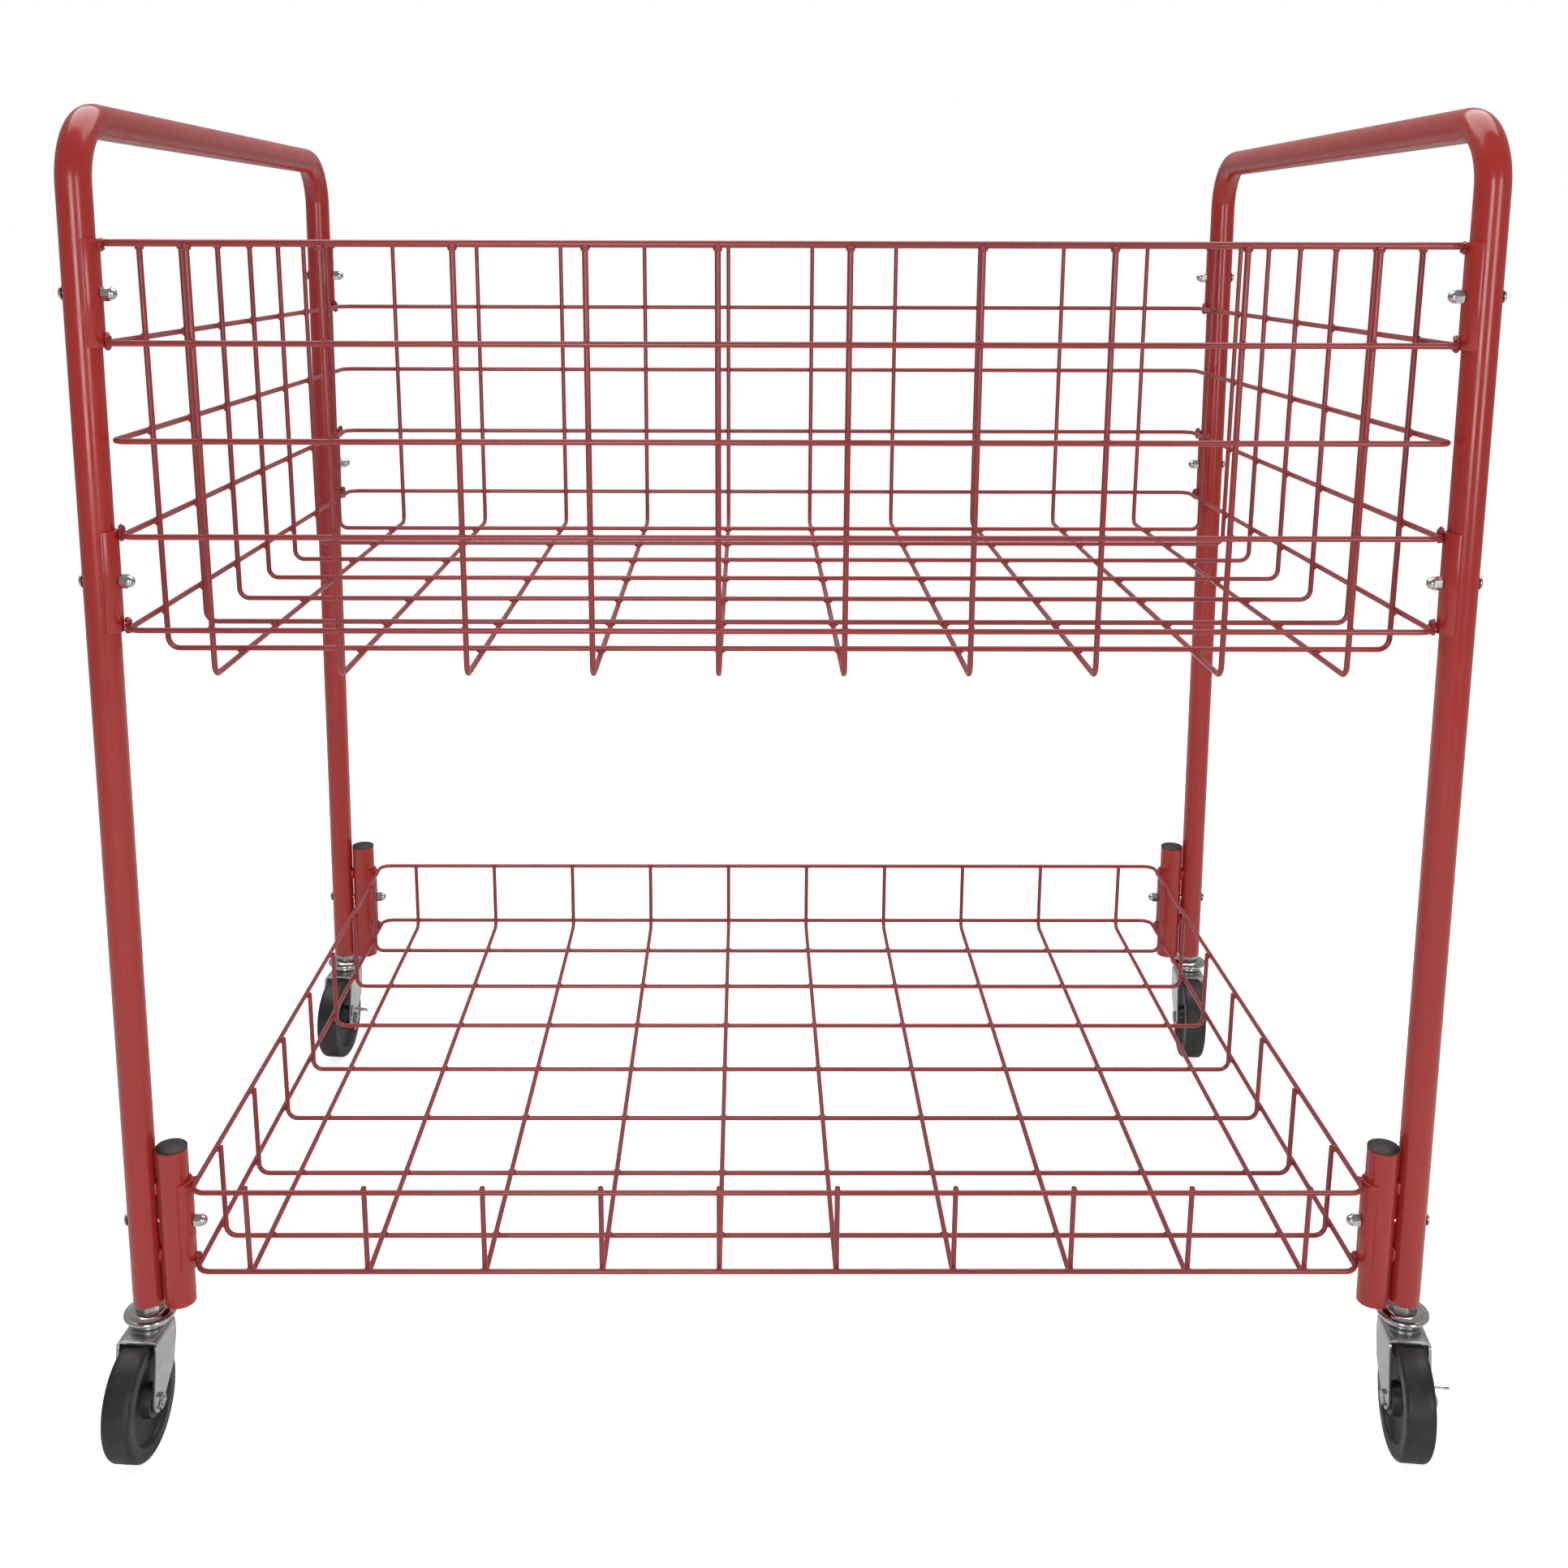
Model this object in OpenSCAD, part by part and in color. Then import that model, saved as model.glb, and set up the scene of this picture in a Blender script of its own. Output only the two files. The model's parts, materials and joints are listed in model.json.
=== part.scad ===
// Wire-basket book cart: two bent-tube end frames carry a deep upper wire basket and a
// shallow lower wire basket on four swivel casters, two of them with a brake lever.
// The origin is on the floor, midway between the four casters. +X runs along the cart, and
// each end frame leans in towards the basket from its casters up to its push handle.

/* [Frame tubes] */
// Outside diameter of the frame tube
tube_d = 26.7; // [22:0.1:32]
// Wall thickness of the frame tube
tube_wall = 1.8; // [1.2:0.1:3]
// Distance between the two end frames at the cut ends of their legs, centre to centre
frame_length = 1097; // [1086:1:1110]
// Distance between the two legs of one end frame, centre to centre
frame_width = 727; // [724:1:728]
// Height of the top of the push handles above the floor
frame_height = 1130; // [1090:1:1200]
// Centreline radius of the handle bends
handle_bend = 50; // [35:1:80]
// Height of the cut ends of the legs above the floor
leg_bottom = 123.5; // [123:0.5:126]
// How far each push handle leans in from the feet of its legs
handle_lean = 15; // [0:0.5:18]

/* [Wire baskets] */
// Diameter of the basket wire
wire_d = 4.7; // [4:0.1:5.2]
// Diameter of the thicker rim wire of the upper basket
rim_d = 5.5; // [4.7:0.1:6]
// Inner bend radius of the wires where they turn under the floor
wire_bend = 7; // [5:0.5:9]
// Centreline radius of the ring corners
ring_corner = 12; // [10:1:14]
// Number of wires that cross a basket from front to back
cross_wires = 10; // [8:1:10]
// Number of wires that run along a basket
long_wires = 7; // [5:1:7]

/* [Upper basket] */
// Pitch of the upper basket's wires, both ways
upper_pitch = 100; // [90:1:102]
// Width of the upper basket over the centres of its outer wires
upper_width = 746; // [744:1:748]
// Height of the rim centre above the floor
upper_rim_z = 1025; // [1000:1:1060]
// Vertical spacing of the rings
upper_ring_step = 74.5; // [60:0.5:80]
// Number of rings, the rim included
upper_rings = 5; // [5:1:5]
// Drop from the lowest ring to the basket floor
upper_floor_drop = 33; // [15:1:40]

/* [Lower basket] */
// Pitch of the wires that cross the lower basket
lower_cross_pitch = 101; // [90:0.5:102]
// Pitch of the wires that run along the lower basket
lower_long_pitch = 103; // [90:0.5:105]
// Width of the lower basket over the centres of its outer wires
lower_width = 750; // [748:1:752]
// Height of the lower ring above the floor
lower_ring_z = 162; // [160:1:175]
// Vertical spacing of the two rings
lower_ring_step = 75; // [60:1:80]
// Drop from the lower ring to the floor's cross wires
lower_floor_drop = 6.5; // [5:0.5:12]
// How far the wire tips stand above the upper ring
tip_rise = 2.4; // [2.4:0.2:8]

/* [Corner fittings] */
// Thickness of the curved saddle plates
saddle_t = 2.8; // [2:0.1:3.5]
// Angle that a saddle plate wraps round its tube
saddle_arc = 120; // [90:5:150]
// Height of the top of the stub tubes above the floor
stub_top = 270.5; // [265:0.5:300]
// Gap between a leg and its stub tube
stub_gap = 1; // [0.8:0.1:3]
// Bolt shank diameter
bolt_d = 6; // [5:0.5:6.5]

/* [Casters] */
// Wheel diameter
wheel_d = 100; // [98:1:100]
// Wheel width at the tread
wheel_w = 25; // [22:0.5:26]
// Distance from the swivel axis to the axle
caster_trail = 34; // [30:1:38]
// Swivel angle at rest of the casters: front left, front right, back left, back right
caster_yaw = [-4, -7, -6, -5]; // [-10:1:10]
// Outside width of the caster fork
fork_w = 36; // [35:0.5:40]
// Thickness of the fork's steel
fork_t = 2.5; // [2:0.1:2.8]
// Axle diameter
axle_d = 8; // [6:0.5:9]

/* [Hidden] */
$fn = 64;
red = [0.66, 0.16, 0.16];
chrome = [0.78, 0.78, 0.80];
zinc = [0.70, 0.71, 0.72];
black = [0.10, 0.10, 0.10];
weld_gap = 0.05;          // air between two crossing wires, so that each stays its own solid
tube_r = tube_d / 2;
wire_r = wire_d / 2;
leg_x = frame_length / 2;
leg_y = frame_width / 2;
plug_r = tube_r - tube_wall - 0.05;
handle_z = frame_height - tube_r;
lean_angle = atan(handle_lean / (handle_z - leg_bottom));
stub_offset = tube_d + stub_gap;
SIDES = [-1, 1];
CORNERS = [[-1, -1], [1, -1], [-1, 1], [1, 1]];
wire_step = wire_d + weld_gap;
floor_bend = wire_bend + wire_r;

// Distance from the middle of the cart to a leg's axis at height z
function leg_x_at(z) = leg_x - (z - leg_bottom) * tan(lean_angle);

// To a tenth of a millimetre
function tenth(v) = round(v * 10) / 10;

// Upper basket planes: the rings run outside all upright wires, and the rim sits on top of them
saddle_gap = 0.1;
saddle_r = tube_r + saddle_gap;
saddle_face = saddle_r + saddle_t;
upper_wire_y = upper_width / 2;
upper_ring_y = upper_wire_y + wire_step;
upper_ring_x = tenth(leg_x_at(upper_rim_z) - saddle_face - wire_r - 0.4);
upper_wire_x = upper_ring_x - wire_step;
upper_rim_x = upper_ring_x - 1;
upper_rim_y = upper_wire_y - 2;
upper_low_ring_z = upper_rim_z - upper_ring_step * (upper_rings - 1);
upper_long_z = upper_low_ring_z - upper_floor_drop;
upper_cross_z = upper_long_z - wire_step;
upper_tip_z = upper_rim_z - rim_d / 2 - weld_gap;

// Lower basket planes
lower_top_z = lower_ring_z + lower_ring_step;
lower_wire_y = lower_width / 2;
lower_ring_y = lower_wire_y + wire_step;
lower_ring_x = tenth(leg_x_at(lower_top_z) - stub_offset - saddle_face - wire_r - 0.3);
lower_wire_x = lower_ring_x - wire_step;
lower_cross_z = lower_ring_z - lower_floor_drop;
lower_long_z = lower_cross_z - wire_step;
lower_tip_z = lower_top_z + tip_rise;

// Saddle plates: two on each leg for the upper basket, one on each stub tube
upper_saddle_h = upper_ring_step + 7;
saddle_top_mid = upper_rim_z - upper_ring_step / 2;
saddle_low_mid = upper_low_ring_z + upper_ring_step / 2;
lower_saddle_h = lower_ring_step + 8;
lower_saddle_mid = lower_ring_z + lower_ring_step / 2;
BOLT_HEIGHTS = [saddle_top_mid, saddle_low_mid, lower_saddle_mid + 3];
bolt_r = bolt_d / 2;
bolt_hole_r = bolt_r + 0.3;
nut_af = 10;
nut_h = 6.5;
nut_dome_r = 4.8;

// Caster heights, from the floor up
axle_z = wheel_d / 2;
fork_top = 104;
race_top = fork_top + 5;
dish_bottom = race_top + 0.4;
dish_top = 117;
ball_r = 2;
ball_ring = 12.5;
ball_z = race_top + 0.2;
balls = 16;
stem_r = 6;
insert_h = 38;
stem_top = leg_bottom + 34;
rivet_z = fork_top - fork_t - 2.6;
fork_inner = fork_w / 2 - fork_t;
eye_r = 9.5;              // fork leg's round end at the axle
fork_front = 4.5;         // front edge of the crown, behind the axle
axle_r = axle_d / 2;
axle_head_af = 12;
axle_head_h = 3;
axle_nut_h = 3.5;
bush_r = axle_r + 2;
running = 0.05;           // radial clearance of turning fits
lever_t = 2;
lever_gap = 0.4;
BRAKED = [false, true, true, false];

// ---- placing helpers -------------------------------------------------------------------

// A straight round bar from a to b along one axis, given as its centre line
module bar_x(x0, x1, y, z, r) { translate([x0, y, z]) rotate([0, 90, 0]) cylinder(h = x1 - x0, r = r); }
module bar_y(x, y0, y1, z, r) { translate([x, y0, z]) rotate([-90, 0, 0]) cylinder(h = y1 - y0, r = r); }
module bar_z(x, y, z0, z1, r) { translate([x, y, z0]) cylinder(h = z1 - z0, r = r); }

// Points of an arc about a centre, between two angles, in n steps
function arc_points(centre, r, from, to, n) =
    [for (k = [0 : n]) centre + r * [cos(from + (to - from) * k / n), sin(from + (to - from) * k / n)]];

// A quarter turn of round bar in the XY plane: it starts on +X at radius bend and ends on +Y
module elbow(bend, r) { rotate_extrude(angle = 90) translate([bend, 0]) circle(r = r); }

// Children that belong to one end frame, drawn with its plane at x = 0 and tilted to its lean
module on_frame(side) {
    translate([side * leg_x, 0, leg_bottom]) rotate([0, -side * lean_angle, 0])
        translate([0, 0, -leg_bottom]) children();
}

// Children at one swivel axis, which stands upright under the foot of its leg
module at_foot(corner) { translate([corner[0] * leg_x, corner[1] * leg_y, 0]) children(); }

// Children in a caster's own frame: origin on the floor under the axle, X along the axle,
// and the swivel axis at y = caster_trail
module at_caster(i) {
    at_foot(CORNERS[i]) rotate([0, 0, caster_yaw[i]]) translate([0, -caster_trail, 0]) children();
}

// ---- end frames ------------------------------------------------------------------------

// The bent tube's centre line swept with radius r, in the plane x = 0
module frame_sweep(r) {
    for (s = SIDES) {
        bar_z(0, s * leg_y, leg_bottom, handle_z - handle_bend, r);
        translate([0, s * (leg_y - handle_bend), handle_z - handle_bend])
            rotate([90, 0, s * 90]) elbow(handle_bend, r);
    }
    bar_y(0, -leg_y + handle_bend, leg_y - handle_bend, handle_z, r);
}

module end_frame(side) {
    color(red) on_frame(side) difference() {
        frame_sweep(tube_r);
        frame_sweep(tube_r - tube_wall);
        for (s = SIDES, z = BOLT_HEIGHTS) bar_x(-tube_d, tube_d, s * leg_y, z, bolt_hole_r);
    }
}

module stub_tube(corner) {
    x = -corner[0] * stub_offset;
    y = corner[1] * leg_y;
    color(red) on_frame(corner[0]) difference() {
        bar_z(x, y, leg_bottom, stub_top, tube_r);
        bar_z(x, y, leg_bottom - 1, stub_top + 1, tube_r - tube_wall);
        bar_x(x - tube_d, x + tube_d, y, BOLT_HEIGHTS[2], bolt_hole_r);
    }
}

// Push-in end cap: a low dome on a thin rim, and a plug inside the tube
module stub_cap(corner) {
    rim_h = 1.5;
    dome_h = 2.4;
    dome_r = (tube_r * tube_r + dome_h * dome_h) / (2 * dome_h);
    plug_h = 12;
    color(black) on_frame(corner[0])
        translate([-corner[0] * stub_offset, corner[1] * leg_y, stub_top + weld_gap]) {
            translate([0, 0, rim_h]) intersection() {
                translate([0, 0, dome_h - dome_r]) sphere(r = dome_r, $fn = 96);
                translate([0, 0, -rim_h]) cylinder(h = rim_h + dome_h + 1, r = tube_r);
            }
            translate([0, 0, -plug_h]) cylinder(h = plug_h + rim_h / 2, r = plug_r);
        }
}

// Weld tabs that space each stub tube off its leg. Their hollow sides follow the tubes in flats
module spacer_tabs() {
    tab_w = 9;
    tab_h = 12;
    flats = 6;
    reach = asin(tab_w / 2 / tube_r);
    hug_r = (tube_r + weld_gap) / cos(reach / flats);
    outline = concat(
        arc_points([-stub_offset / 2, 0], hug_r, -reach, reach, flats),
        arc_points([stub_offset / 2, 0], hug_r, 180 - reach, 180 + reach, flats));
    color(red) for (c = CORNERS, z = [lower_ring_z + 8, lower_top_z - 3]) on_frame(c[0])
        translate([-c[0] * stub_offset / 2, c[1] * leg_y, z - tab_h / 2])
            linear_extrude(tab_h) polygon(outline);
}

// Threaded inserts that close the leg ends and hold the caster stems
module leg_inserts() {
    color(zinc) for (c = CORNERS) difference() {
        on_frame(c[0]) bar_z(0, c[1] * leg_y, leg_bottom, leg_bottom + insert_h, plug_r);
        at_foot(c) bar_z(0, 0, leg_bottom - 1, leg_bottom + insert_h + 1, stem_r + running);
    }
}

// ---- wire panels -----------------------------------------------------------------------

// Positions of n wires at a pitch, centred on zero
function spread(n, pitch) = [for (i = [0 : n - 1]) (i - (n - 1) / 2) * pitch];

// One long side of a ring, with its two corner bends, on the side s = -1 or 1
module ring_side(s, x, y, z, r) {
    bar_x(-x + ring_corner, x - ring_corner, s * y, z, r);
    for (e = SIDES) translate([e * (x - ring_corner), s * (y - ring_corner), z])
        rotate([0, 0, (e > 0 ? (s > 0 ? 0 : -90) : (s > 0 ? 90 : 180))]) elbow(ring_corner, r);
}

// One short side of a ring, straight between the corner bends
module ring_end(s, x, y, z, r) {
    bar_y(s * x, -y + ring_corner, y - ring_corner, z, r);
}

module upper_side(s) {
    color(red) {
        ring_side(s, upper_rim_x, upper_rim_y, upper_rim_z, rim_d / 2);
        for (k = [1 : upper_rings - 1])
            ring_side(s, upper_ring_x, upper_ring_y, upper_rim_z - k * upper_ring_step, wire_r);
        for (x = spread(cross_wires, upper_pitch))
            bar_z(x, s * upper_wire_y, upper_cross_z + floor_bend, upper_tip_z, wire_r);
    }
}

module upper_end(s) {
    color(red) {
        ring_end(s, upper_rim_x, upper_rim_y, upper_rim_z, rim_d / 2);
        for (k = [1 : upper_rings - 1])
            ring_end(s, upper_ring_x, upper_ring_y, upper_rim_z - k * upper_ring_step, wire_r);
        for (y = spread(long_wires, upper_pitch))
            bar_z(s * upper_wire_x, y, upper_long_z + floor_bend, upper_tip_z, wire_r);
    }
}

// A floor wire with its two upturned bends: across the basket, and along it
module floor_cross(x, y, z) {
    bar_y(x, -y + floor_bend, y - floor_bend, z, wire_r);
    for (s = SIDES) translate([x, s * (y - floor_bend), z + floor_bend])
        rotate([0, 90, 0]) rotate([0, 0, s > 0 ? 0 : -90]) elbow(floor_bend, wire_r);
}

module floor_long(x, y, z) {
    bar_x(-x + floor_bend, x - floor_bend, y, z, wire_r);
    for (s = SIDES) translate([s * (x - floor_bend), y, z + floor_bend])
        rotate([-90, 0, 0]) rotate([0, 0, s > 0 ? 0 : 90]) elbow(floor_bend, wire_r);
}

module upper_floor() {
    color(red) {
        for (x = spread(cross_wires, upper_pitch)) floor_cross(x, upper_wire_y, upper_cross_z);
        for (y = spread(long_wires, upper_pitch)) floor_long(upper_wire_x, y, upper_long_z);
    }
}

module lower_side(s) {
    color(red) {
        for (z = [lower_ring_z, lower_top_z]) ring_side(s, lower_ring_x, lower_ring_y, z, wire_r);
        for (x = spread(cross_wires, lower_cross_pitch))
            bar_z(x, s * lower_wire_y, lower_cross_z + floor_bend, lower_tip_z, wire_r);
    }
}

module lower_end(s) {
    color(red) {
        for (z = [lower_ring_z, lower_top_z]) ring_end(s, lower_ring_x, lower_ring_y, z, wire_r);
        for (y = spread(long_wires, lower_long_pitch))
            bar_z(s * lower_wire_x, y, lower_long_z + floor_bend, lower_tip_z, wire_r);
    }
}

module lower_floor() {
    color(red) {
        for (x = spread(cross_wires, lower_cross_pitch)) floor_cross(x, lower_wire_y, lower_cross_z);
        for (y = spread(long_wires, lower_long_pitch)) floor_long(lower_wire_x, y, lower_long_z);
    }
}

// ---- saddles and fasteners -------------------------------------------------------------

// A curved plate that hugs the basket side of a tube at offset x, drilled for its bolt
module saddle(side, x, y, mid, h, bolt_z) {
    on_frame(side) translate([x, y, 0]) difference() {
        translate([0, 0, mid - h / 2])
            rotate([0, 0, (side > 0 ? 180 : 0) - saddle_arc / 2])
                rotate_extrude(angle = saddle_arc) translate([saddle_r, 0]) square([saddle_t, h]);
        bar_x(-2 * tube_d, 2 * tube_d, 0, bolt_z, bolt_hole_r);
    }
}

module upper_saddles() {
    color(red) for (c = CORNERS, mid = [saddle_top_mid, saddle_low_mid])
        saddle(c[0], 0, c[1] * leg_y, mid, upper_saddle_h, mid);
}

module lower_saddles() {
    color(red) for (c = CORNERS)
        saddle(c[0], -c[0] * stub_offset, c[1] * leg_y, lower_saddle_mid, lower_saddle_h,
            BOLT_HEIGHTS[2]);
}

// Distance from the leg axis to the nut face, for each bolt height
function nut_face(i) = (i == 2 ? stub_offset : 0) + saddle_face + 0.05;

// Children with +X pointing from a leg's axis towards the basket, at bolt height i
module at_bolt(c, i) {
    on_frame(c[0]) translate([0, c[1] * leg_y, BOLT_HEIGHTS[i]])
        rotate([0, 0, c[0] > 0 ? 180 : 0]) children();
}

module frame_bolts() {
    head_r = 5.5;
    head_h = 3.2;
    dome_r = head_r * 1.15;
    color(chrome) for (c = CORNERS, i = [0 : 2]) at_bolt(c, i) {
        translate([-tube_r - 0.05, 0, 0]) rotate([0, 90, 0])
            cylinder(h = tube_r + nut_face(i) + nut_h, r = bolt_r);
        translate([-tube_r - 0.05, 0, 0]) rotate([0, -90, 0]) rotate_extrude() intersection() {
            translate([0, head_h - dome_r]) circle(r = dome_r);
            square([head_r, head_h]);
        }
    }
}

module acorn_nuts() {
    color(chrome) for (c = CORNERS, i = [0 : 2]) at_bolt(c, i)
        translate([nut_face(i), 0, 0]) rotate([0, 90, 0]) difference() {
            union() {
                cylinder(h = nut_h, r = nut_af / sqrt(3), $fn = 6);
                translate([0, 0, nut_h]) rotate_extrude() intersection() {
                    circle(r = nut_dome_r);
                    square([nut_dome_r, nut_dome_r]);
                }
            }
            translate([0, 0, -1]) cylinder(h = nut_h + 1.05, r = bolt_r + running);
        }
}

// ---- casters ---------------------------------------------------------------------------

// Stem with its hex collar under the leg and its riveted foot under the fork crown
module caster_stem(i) {
    foot_r = 9;
    foot_h = 2.2;
    collar_r = 12;
    collar_gap = 0.25;
    color(zinc) at_foot(CORNERS[i]) {
        bar_z(0, 0, rivet_z, stem_top, stem_r);
        bar_z(0, 0, rivet_z, rivet_z + foot_h, foot_r);
        translate([0, 0, dish_top + running])
            cylinder(h = leg_bottom - dish_top - running - collar_gap, r = collar_r, $fn = 6);
    }
}

// Dished upper bearing races, fixed to the stems
module upper_races() {
    dish_r = 22.5;
    rim = 4;
    dish_h = dish_top - dish_bottom;
    color(chrome) for (c = CORNERS) at_foot(c) difference() {
        rotate_extrude() {
            translate([stem_r + running, dish_bottom])
                square([dish_r - stem_r - running - rim, dish_h]);
            translate([dish_r - rim, dish_bottom + dish_h / 2 - 0.2]) circle(r = dish_h / 2 - 0.2);
        }
        ball_groove();
    }
}

// The track that the balls run in, half of it in each race
module ball_groove() {
    translate([0, 0, ball_z]) rotate_extrude() translate([ball_ring, 0]) circle(r = ball_r + 0.15);
}

module bearing_balls() {
    color(chrome) for (c = CORNERS) at_foot(c) for (k = [0 : balls - 1])
        rotate([0, 0, 360 / balls * k]) translate([ball_ring, 0, ball_z]) sphere(r = ball_r);
}

module lower_race(i) {
    race_r = 17.5;
    seat = fork_top + weld_gap;
    edge_r = (race_top - seat) / 2;
    bore_r = stem_r + 0.4;
    color(chrome) at_foot(CORNERS[i]) difference() {
        rotate_extrude() {
            translate([bore_r, seat]) square([race_r - edge_r - bore_r, race_top - seat]);
            translate([race_r - edge_r, seat + edge_r]) circle(r = edge_r);
        }
        ball_groove();
    }
}

// Outline of a fork leg seen along the axle: rounded at the axle, widening up to the crown
module fork_leg_outline() {
    back = caster_trail + 9;
    waist = [back, 38];
    knee = [back - 8, 16];
    eye_edge = eye_r * [cos(49), -sin(49)];
    crown_z = fork_top - axle_z;
    circle(r = eye_r);
    polygon([[-eye_r, 0], [fork_front, crown_z], [back, crown_z], waist, knee, eye_edge]);
}

module fork(i) {
    crown_r = fork_w / 2;
    color(zinc) at_caster(i) difference() {
        union() {
            for (s = SIDES) translate([s * (fork_w / 2 - fork_t / 2) - fork_t / 2, 0, axle_z])
                rotate([90, 0, 90]) linear_extrude(fork_t) fork_leg_outline();
            translate([0, 0, fork_top - fork_t]) linear_extrude(fork_t) {
                translate([-crown_r, fork_front]) square([fork_w, caster_trail - fork_front]);
                translate([0, caster_trail]) circle(r = crown_r);
            }
        }
        translate([0, caster_trail, 0]) cylinder(h = 200, r = stem_r + 0.3);
        bar_x(-fork_w, fork_w, 0, axle_z, axle_r + running);
    }
}

// Where the axle nut starts: against the fork, or beyond the brake lever
function nut_start(i) = fork_w / 2 + (BRAKED[i] ? lever_t + 2 * lever_gap : running);

module axle_bolt(i) {
    color(zinc) at_caster(i) translate([0, 0, axle_z]) {
        bar_x(-fork_w / 2 - running, nut_start(i) + axle_nut_h + 1, 0, 0, axle_r);
        translate([-fork_w / 2 - running - axle_head_h, 0, 0]) rotate([0, 90, 0])
            cylinder(h = axle_head_h, r = axle_head_af / sqrt(3), $fn = 6);
    }
}

module axle_nut(i) {
    color(zinc) at_caster(i) translate([nut_start(i), 0, axle_z]) rotate([0, 90, 0]) difference() {
        cylinder(h = axle_nut_h, r = axle_head_af / sqrt(3), $fn = 6);
        translate([0, 0, -1]) cylinder(h = axle_nut_h + 2, r = axle_r + running);
    }
}

// Steel bush clamped between the fork legs: the wheel turns on it
module axle_bush(i) {
    half = fork_inner - running;
    color(zinc) at_caster(i) difference() {
        bar_x(-half, half, 0, axle_z, bush_r);
        bar_x(-half - 1, half + 1, 0, axle_z, axle_r + running);
    }
}

// Hard wheel: a thick rim with rounded shoulders, a thinner web and a hub
module wheel(i) {
    shoulder = 4;
    rim_in = 37;
    slope = 3;
    web_w = 13;
    hub_r = 14;
    hub_w = 2 * fork_inner - 1.2;
    corner = [wheel_d / 2 - shoulder, wheel_w / 2 - shoulder];
    half = concat(
        [[bush_r + running, hub_w / 2], [hub_r, hub_w / 2], [hub_r + slope, web_w / 2],
         [rim_in - slope, web_w / 2], [rim_in, wheel_w / 2]],
        arc_points(corner, shoulder, 90, 0, 8));
    mirrored = [for (k = [len(half) - 1 : -1 : 0]) [half[k][0], -half[k][1]]];
    color(black) at_caster(i) translate([0, 0, axle_z]) rotate([0, 90, 0])
        rotate_extrude($fn = 128) polygon(concat(half, mirrored));
}

// Stamped brake lever on the axle: a four-point plate with a foot tab turned outwards
module brake_lever(i) {
    arms = [34, 8];
    tab_l = 17;
    tab_w = 16;
    tab_r = 12;
    tab_angle = 53;
    hole_r = 2;
    color(zinc) at_caster(i) translate([fork_w / 2 + lever_gap, 0, axle_z]) difference() {
        union() {
            rotate([90, 0, 90]) linear_extrude(lever_t) {
                circle(r = tab_r - 1);
                for (a = [0, 90]) rotate(tab_angle + 45 + a) square(arms, center = true);
                rotate(tab_angle) translate([0, -tab_w / 2]) square([tab_r, tab_w]);
            }
            rotate([tab_angle - 90, 0, 0]) translate([0, -tab_w / 2, tab_r - lever_t])
                cube([tab_l + lever_t, tab_w, lever_t]);
        }
        bar_x(-1, lever_t + 1, 0, 0, axle_r + running);
        rotate([tab_angle - 90, 0, 0]) bar_z(tab_l - 2 * hole_r, 0, 0, 2 * tab_r, hole_r);
    }
}

end_frame(-1);  // end_frame_left
end_frame(1);  // end_frame_right
stub_tube(CORNERS[0]);  // stub_tube_front_left
stub_tube(CORNERS[1]);  // stub_tube_front_right
stub_tube(CORNERS[2]);  // stub_tube_back_left
stub_tube(CORNERS[3]);  // stub_tube_back_right
stub_cap(CORNERS[0]);  // stub_cap_front_left
stub_cap(CORNERS[1]);  // stub_cap_front_right
stub_cap(CORNERS[2]);  // stub_cap_back_left
stub_cap(CORNERS[3]);  // stub_cap_back_right
spacer_tabs();
leg_inserts();
upper_side(-1);  // upper_basket_front
upper_side(1);  // upper_basket_back
upper_end(-1);  // upper_basket_left
upper_end(1);  // upper_basket_right
upper_floor();  // upper_basket_floor
upper_saddles();
lower_side(-1);  // lower_basket_front
lower_side(1);  // lower_basket_back
lower_end(-1);  // lower_basket_left
lower_end(1);  // lower_basket_right
lower_floor();  // lower_basket_floor
lower_saddles();
frame_bolts();
acorn_nuts();
upper_races();
bearing_balls();
caster_stem(0);  // caster_stem_front_left
caster_stem(1);  // caster_stem_front_right
caster_stem(2);  // caster_stem_back_left
caster_stem(3);  // caster_stem_back_right
fork(0);  // fork_front_left
fork(1);  // fork_front_right
fork(2);  // fork_back_left
fork(3);  // fork_back_right
lower_race(0);  // lower_race_front_left
lower_race(1);  // lower_race_front_right
lower_race(2);  // lower_race_back_left
lower_race(3);  // lower_race_back_right
axle_bolt(0);  // axle_bolt_front_left
axle_bolt(1);  // axle_bolt_front_right
axle_bolt(2);  // axle_bolt_back_left
axle_bolt(3);  // axle_bolt_back_right
axle_nut(0);  // axle_nut_front_left
axle_nut(1);  // axle_nut_front_right
axle_nut(2);  // axle_nut_back_left
axle_nut(3);  // axle_nut_back_right
axle_bush(0);  // axle_bush_front_left
axle_bush(1);  // axle_bush_front_right
axle_bush(2);  // axle_bush_back_left
axle_bush(3);  // axle_bush_back_right
wheel(0);  // wheel_front_left
wheel(1);  // wheel_front_right
wheel(2);  // wheel_back_left
wheel(3);  // wheel_back_right
brake_lever(1);  // brake_lever_front_right
brake_lever(2);  // brake_lever_back_left
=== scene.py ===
"""The looks of a red wire-basket book cart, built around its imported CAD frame, in metres."""

import json
import math
import random

import bmesh
import bpy
from mathutils import Matrix, Vector, noise

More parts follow.
